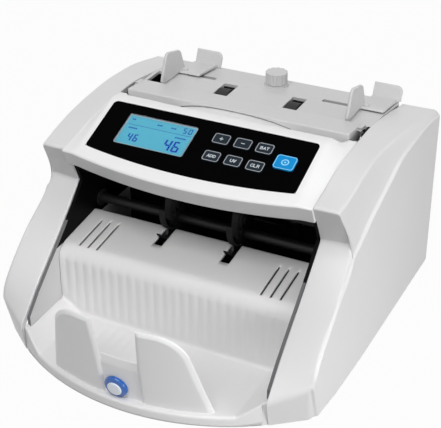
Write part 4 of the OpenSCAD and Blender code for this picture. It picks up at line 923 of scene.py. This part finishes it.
FLOOR_Z, WALL_Y, STEP_Z, NOSE_R, TRAY_T = 10.0, -60.0, 68.0, 12.0, 2.5
BASE_R, BASE_Y = 174.0, 35.6
EAR_HALF, EAR_REAR = HALF - 0.3, -103.6
STEP_SLOPE, STEP_REAR, HEM_R, HEM_H, FILLET = math.radians(6.6), 8.0, 4.0, 6.0, 3.0
GUSSET_X, GUSSET_H = BAY_HALF - 16, 11.0
SLOT_XS, SLOT_W, SLOT_Y = (67.8, 75.4, 83.0), 1.8, (-52.5, -18.0)
FINGER_X, FINGER_SLOT, FINGER_Y = 28.0, 8.0, -29.5
PLEAT, PLEAT_D = 7.6, 0.9
FLOOR_PLEAT, FLOOR_RIB = 30.0, 0.5
RIM_R = 2.2
# Lines of points from front to back keep this far from the edges of the slots
SLOT_CLEAR = 0.45


def base_front(x):
    """Where the round front of the base lies at x."""
    return BASE_Y - np.sqrt(BASE_R * BASE_R - x * x)


def tray_floor(x):
    """Height of the floor at x: it rises to the raised corners."""
    return FLOOR_Z + GUSSET_H * max(0.0, abs(x) - GUSSET_X) / (BAY_HALF - GUSSET_X)


def tray_column(x):
    """Outer (y, z) line of the tray at x, from the foot of the skirt to the foot of the hem."""
    floor, front = tray_floor(x), base_front(x)
    slope = math.tan(STEP_SLOPE)
    skirt = np.column_stack([np.full(4, front), np.linspace(FOOT, floor - RIM_R, 5)[:-1]])
    rim = arc((front + RIM_R, floor - RIM_R), RIM_R, 180, 90, 7)
    flat = np.column_stack([np.linspace(front + RIM_R, WALL_Y - FILLET, 12)[1:-1], np.full(10, floor)])
    bend = arc((WALL_Y - FILLET, floor + FILLET), FILLET, -90, 0, 7)
    wall = np.column_stack([np.full(14, WALL_Y), np.linspace(floor + FILLET, STEP_Z - NOSE_R, 16)[1:-1]])
    nose = arc((WALL_Y + NOSE_R, STEP_Z - NOSE_R), NOSE_R, 180, 90 + math.degrees(STEP_SLOPE), 14)
    brow_y, brow_z = nose[-1]
    stops = np.array([SLOT_Y[0] + 5, -40, -34, FINGER_Y, -24, SLOT_Y[1], -14, -11])
    stops = stops[stops > brow_y + 0.5]
    step = np.column_stack([stops, brow_z + (stops - brow_y) * slope])
    end_z = brow_z + (-STEP_REAR - brow_y) * slope
    hem_c = (-STEP_REAR + HEM_R * math.sin(STEP_SLOPE), end_z - HEM_R * math.cos(STEP_SLOPE))
    hem = arc(hem_c, HEM_R, 90 + math.degrees(STEP_SLOPE), 0, 8)
    foot = [(hem[-1][0], hem_c[1] - HEM_H)]
    # Pleats stand out of the wall, run a little way over the floor and die away on the nose
    fold = abs(math.sin(math.pi * (abs(x) - SLOT_XS[0]) / PLEAT)) ** 0.6
    reach = (WALL_Y - FILLET - flat[:, 0]) / FLOOR_PLEAT
    flat[:, 1] += FLOOR_RIB * fold * (1 - smooth_step((reach - 0.8) / 0.2)) * smooth_step(reach / 0.1)
    for line in (wall, nose):
        z = line[:, 1]
        share = smooth_step((STEP_Z - 3 - z) / 12) * smooth_step((z - floor - 2) / 6)
        line[:, 0] -= PLEAT_D * fold * share
    return np.concatenate([skirt, rim, flat, bend, wall, nose, step, hem, foot])


def make_tray():
    slots = [(x, SLOT_W) for x in SLOT_XS] + [(FINGER_X, FINGER_SLOT)]
    edges = [s * x + e * w / 2 for s in (-1, 1) for x, w in slots for e in (-1, 1)]
    stops = [*np.arange(-96, 96.1, PLEAT / 6), -BAY_HALF, BAY_HALF]
    xs = sorted(edges + [x for x in stops if min(abs(x - e) for e in edges) >= SLOT_CLEAR])
    grid = np.array([at_x(x, tray_column(x)) for x in xs]).transpose(1, 0, 2)
    faces = []
    for f in grid_faces(*grid.shape[:2]):
        x, y, z = grid.reshape(-1, 3)[list(f)].mean(axis=0)
        in_slot = min(abs(abs(x) - c) for c in SLOT_XS) < SLOT_W / 2 and SLOT_Y[0] < y < SLOT_Y[1]
        in_finger = abs(abs(x) - FINGER_X) < FINGER_SLOT / 2 and y > FINGER_Y
        if not (in_slot and z > STEP_Z - 8 or in_finger):
            faces.append(f)
    piece(
        "tray", grid, faces, tray_grey, slot="trim_plastic", stands_for=("stacker_tray",), sharp=50,
        sheet=TRAY_T - 0.1)
    # The skirt runs on in front of the frames up to the cheeks
    ears = []
    for s in (-1, 1):
        sections = []
        for x in np.linspace(BAY_HALF + 0.02, EAR_HALF, 5):
            front, top = base_front(x), tray_floor(x) - 0.1
            rim = arc((front + RIM_R, top - RIM_R), RIM_R, 180, 90, 7)
            sections.append(at_x(s * x, [(front, FOOT), *rim, (EAR_REAR, top), (EAR_REAR, FOOT)]))
        ears.append(loft(sections))
    piece("tray_ears", *merge(ears), tray_grey, slot="trim_plastic", sharp=50)


make_tray()


# Front plate: two bevelled wings on a leaning cone, joined by a low tongue with a sloping top

PLATE_R, PLATE_Y, PLATE_T = 177.0, 42.8, 2.8
PLATE_TILT = math.radians(9.46)
WING_Z, GAP_Z, WING_FOOT, GAP_HALF = 78.2, 46.5, 64.5, 15.0
WING_ARC_R = 23.0
WING_ARC = np.array([WING_FOOT - 34, WING_Z - WING_ARC_R])
BEVEL = 3.0
# (outset, depth) steps of a wing's bevelled edge
WING_RINGS = (
    (0, 0), (0.5, 0.1), (1.2, 0.45), (2.2, 1.15), (2.75, 1.6), (2.95, 1.9), (BEVEL, 2.3), (BEVEL, PLATE_T),
)
TONGUE_BACK = 1.8
CAP_X, CAP_Z = -4.3, 19.6
CAP_Y = PLATE_Y - (PLATE_R - TONGUE_BACK + math.tan(PLATE_TILT) * (CAP_Z - FLOOR_Z))


def on_plate(p):
    """(x, z, depth behind the outer face) rows to the machine's axes."""
    x, z, depth = np.asarray(p, float).T
    r = PLATE_R + math.tan(PLATE_TILT) * (z - FLOOR_Z) - depth
    return np.column_stack([x, PLATE_Y - np.sqrt(r * r - x * x), z])


def on_cap(p):
    """(x, up the plate, out of the plate) rows from the middle of the cap to the machine's axes."""
    x, up, out = np.asarray(p, float).T
    c, s = math.cos(PLATE_TILT), math.sin(PLATE_TILT)
    return np.column_stack([CAP_X + x, CAP_Y - up * s - out * c, CAP_Z + up * c - out * s])


def wing_grid():
    """(x, z) points of the right wing's flat face, in rows from its foot to its top."""
    r = WING_ARC_R - BEVEL
    top = arc(WING_ARC, r, 10, 90, 15)
    foot = np.array([WING_FOOT - BEVEL, FLOOR_Z])
    low = [foot + t * (top[0] - foot) for t in np.linspace(0, 1, 14)[:-1]]
    rows = []
    for x_out, z in [*low, *top]:
        x_in = np.interp(z, [FLOOR_Z, GAP_Z, WING_Z], [GAP_HALF - 0.5, GAP_HALF, GAP_HALF + 2.3]) + BEVEL
        rows.append([(x, z) for x in np.linspace(x_in, x_out, 17)])
    return np.array(rows)


def make_front_plate():
    right = bent_slab(wing_grid(), WING_RINGS, on_plate)
    left = (right[0] * [-1, 1, 1], right[1])
    d0, d1 = TONGUE_BACK, TONGUE_BACK + PLATE_T
    section = rounded([
        (FLOOR_Z - 2, d1), (FLOOR_Z - 2, d0), (GAP_Z - 7.5, d0),
        (GAP_Z - 0.3, d1 - 1.1), (GAP_Z - 0.3, d1), (FLOOR_Z - 1, d1),
    ], [0, 0, 1.6, 0.7, 0.4, 0], n=5)
    xs = np.linspace(-GAP_HALF - 0.4, GAP_HALF + 0.4, 15)
    tongue = loft([on_plate(at_x(x, section)) for x in xs])
    plate = merge([right, left, tongue])
    # The wings take the lighter copy of the shell plastic, painted light on their front faces
    piece("stop_plate", *plate, wing_lightened_grey, slot="shell_plastic", stands_for=("front_plate",), sharp=50)
    # Pale round centre of the cap on the tongue
    centre = lathe([(0, 2.6), (5.6, 2.6), (5.6, 3.9), (5.3, 4.25), (3, 4.5), (0, 4.6)], on_cap)
    piece("cap_centre", *centre, cap_pale, slot="start_plastic")


make_front_plate()


# Note guides with rounded edges

GUIDE_X, GUIDE_T, GUIDE_Z, HOPPER_Z = 78.0, 2.5, 173.14, 148.0
FIN_FOOT, FIN_REAR, FIN_LIFT = 74.6, 112.0, 1.2
ARM_Y, ARM_Z = 138.5, 145.0
LAP_FRONT, LAP_T, LAP_W = 104.0, 1.6, 21.0
BACK_W, BACK_TOP, BACK_CORNER, BACK_T, BACK_LEAN = 24.0, HOPPER_Z + 8, 5.0, 2.4, 4.6
RAIL_Y, RAIL_W, HOPPER_T, CARRIAGE_W, RAIL_GAP = 110.0, 6.0, 2.5, 12.0, 0.4
GUIDE_ROUND = 0.9


def make_guide(node, x):
    foot = HOPPER_Z + FIN_LIFT
    fin = np.concatenate([
        [(FIN_FOOT + 2.4, foot), (FIN_REAR + 0.5, foot), (FIN_REAR + 2.5, foot + 2)],
        arc((FIN_FOOT + 26.8, GUIDE_Z - 12), 8.5, 20, 78, 9),
        arc((FIN_FOOT + 12.7, GUIDE_Z - 5), 5, 78, 160, 10),
        [(FIN_FOOT + 6.9, GUIDE_Z - 4.8), (FIN_FOOT + 1, HOPPER_Z + 4)],
    ])
    upright = lambda p: np.column_stack([x + GUIDE_T - p[:, 2], p[:, 0], p[:, 1]])
    parts = [rounded_slab(fin, GUIDE_ROUND, GUIDE_T, upright)]
    # The low plate over the rail, thinner at its front edge
    lap = rounded([
        (LAP_FRONT + 6, foot - 0.5), (LAP_FRONT, foot + 0.1), (LAP_FRONT + 0.8, foot + LAP_T),
        (ARM_Y + 0.4, ARM_Z + LAP_T), (ARM_Y + 0.4, ARM_Z),
    ], [0, 0.2, 0.9, 0.2, 0], n=5)
    sideways = lambda p: np.column_stack([x + p[:, 2], p[:, 0], p[:, 1]])
    parts.append(prism(lap, 0.3, LAP_W, sideways))
    # The back plate leans to the rear, and its outer top corner is round
    face = np.concatenate([
        [(0, ARM_Z), (BACK_W, ARM_Z)],
        arc((BACK_W - BACK_CORNER, BACK_TOP - BACK_CORNER), BACK_CORNER, 0, 90, 10),
        [(0, BACK_TOP)],
    ])
    rake = BACK_LEAN / (BACK_TOP - ARM_Z)
    leaning = lambda p: np.column_stack([
        x + p[:, 0], ARM_Y - 0.9 + rake * (p[:, 1] - ARM_Z) + p[:, 2], p[:, 1]])
    parts.append(rounded_slab(face, GUIDE_ROUND, BACK_T, leaning))
    # The carriage passes through the rail's slot and spreads out under the hopper plate
    low = HOPPER_Z - HOPPER_T - 5
    across = lambda p: np.column_stack([x + GUIDE_T / 2 + p[:, 0], RAIL_Y + p[:, 1], p[:, 2]])
    parts.append(prism(box_outline(CARRIAGE_W, RAIL_W - 2 * RAIL_GAP, 1.2), low, foot + 2, across))
    parts.append(prism(box_outline(CARRIAGE_W, 2 * RAIL_W, 1.2), low, low + 2.4, across))
    piece(
        node + "_moulding", *merge(parts), trim, body=node, slot="trim_plastic", stands_for=(node,),
        sharp=45, even=True)


make_guide("left_note_guide", -GUIDE_X - GUIDE_T)
make_guide("right_note_guide", GUIDE_X)


# Soft edges on the CAD nodes that show as they are

SOFT_EDGES = {
    0.25: ("control_panel",),
    0.3: ("front_cap", "power_inlet", "switch_frame", "rear_sockets", "case_screws"),
    0.35: tuple(KEYS),
    0.4: ("key_start", "rear_cover", "power_switch", "rubber_feet", "upper_guide"),
    0.5: ("gap_knob", "transport_rollers"),
    0.6: ("hopper_plate", "feed_rollers", "pickup_rollers"),
}
for width, names in SOFT_EDGES.items():
    for name in names:
        soften(name, width)


# Floor and light

FLOOR_HALF, FLOOR_TONE, FLOOR_GLOW = 6.0, 0.28, 0.97
WORLD_LIGHT = 0.34


def show_instead(tree, output, usual, seen, strength):
    """Mixes seen over the usual shader for rays from the camera, off a mirror or through glass."""
    path = tree.nodes.new("ShaderNodeLightPath")
    share = path.outputs["Is Camera Ray"]
    for ray in ("Is Glossy Ray", "Is Transmission Ray"):
        share = math_node(tree, "MAXIMUM", share, path.outputs[ray])
    mix = tree.nodes.new("ShaderNodeMixShader")
    tree.links.new(math_node(tree, "MULTIPLY", share, strength), mix.inputs["Fac"])
    tree.links.new(usual, mix.inputs[1])
    tree.links.new(seen, mix.inputs[2])
    tree.links.new(mix.outputs["Shader"], tree.nodes[output].inputs["Surface"])


floor_mesh = bpy.data.meshes.new("floor")
corners = [(sx * FLOOR_HALF, sy * FLOOR_HALF, 0) for sx, sy in ((-1, -1), (1, -1), (1, 1), (-1, 1))]
floor_mesh.from_pydata(corners, [], [(0, 1, 2, 3)])
floor = add_object("floor", floor_mesh)
floor_mat, tree, shader = new_material("floor")
put(shader, {"Base Color": (FLOOR_TONE, FLOOR_TONE, FLOOR_TONE, 1), "Roughness": 0.9})
glow = tree.nodes.new("ShaderNodeEmission")
show_instead(tree, "Material Output", shader.outputs["BSDF"], glow.outputs["Emission"], FLOOR_GLOW)
floor_mesh.materials.append(floor_mat)

world = bpy.data.worlds.new("studio")
bpy.context.scene.world = world
world.use_nodes = True
tree = world.node_tree
lit, seen = tree.nodes["Background"], tree.nodes.new("ShaderNodeBackground")
for background, strength in ((lit, WORLD_LIGHT), (seen, 1.0)):
    put(background, {"Color": (1, 1, 1, 1), "Strength": strength})
show_instead(tree, "World Output", lit.outputs["Background"], seen.outputs["Background"], 1.0)


def lamp_panel(name, place, aim, size, power, spread=180):
    light = bpy.data.lights.new(name, "AREA")
    light.shape = "RECTANGLE"
    light.size, light.size_y = size
    light.energy = power
    light.spread = math.radians(spread)
    obj = add_object(name, light)
    obj.location = place
    obj.rotation_mode = "QUATERNION"
    obj.rotation_quaternion = (Vector(aim) - Vector(place)).to_track_quat("-Z", "Y")


lamp_panel("key_light", (0.15, -1.2, 1.85), (0, 0, 0.08), (1.1, 1.1), 20.6)
lamp_panel("top_light", (0.1, 0.3, 1.8), (0, 0, 0.1), (1.4, 1.4), 5)
lamp_panel("edge_light", (1.25, -0.2, 0.62), (0.12, -0.05, 0.06), (0.4, 0.4), 1.0)
lamp_panel("side_light", (0.85, -0.3, 0.16), (0.13, -0.16, 0.0), (0.4, 0.25), 0.52, spread=70)
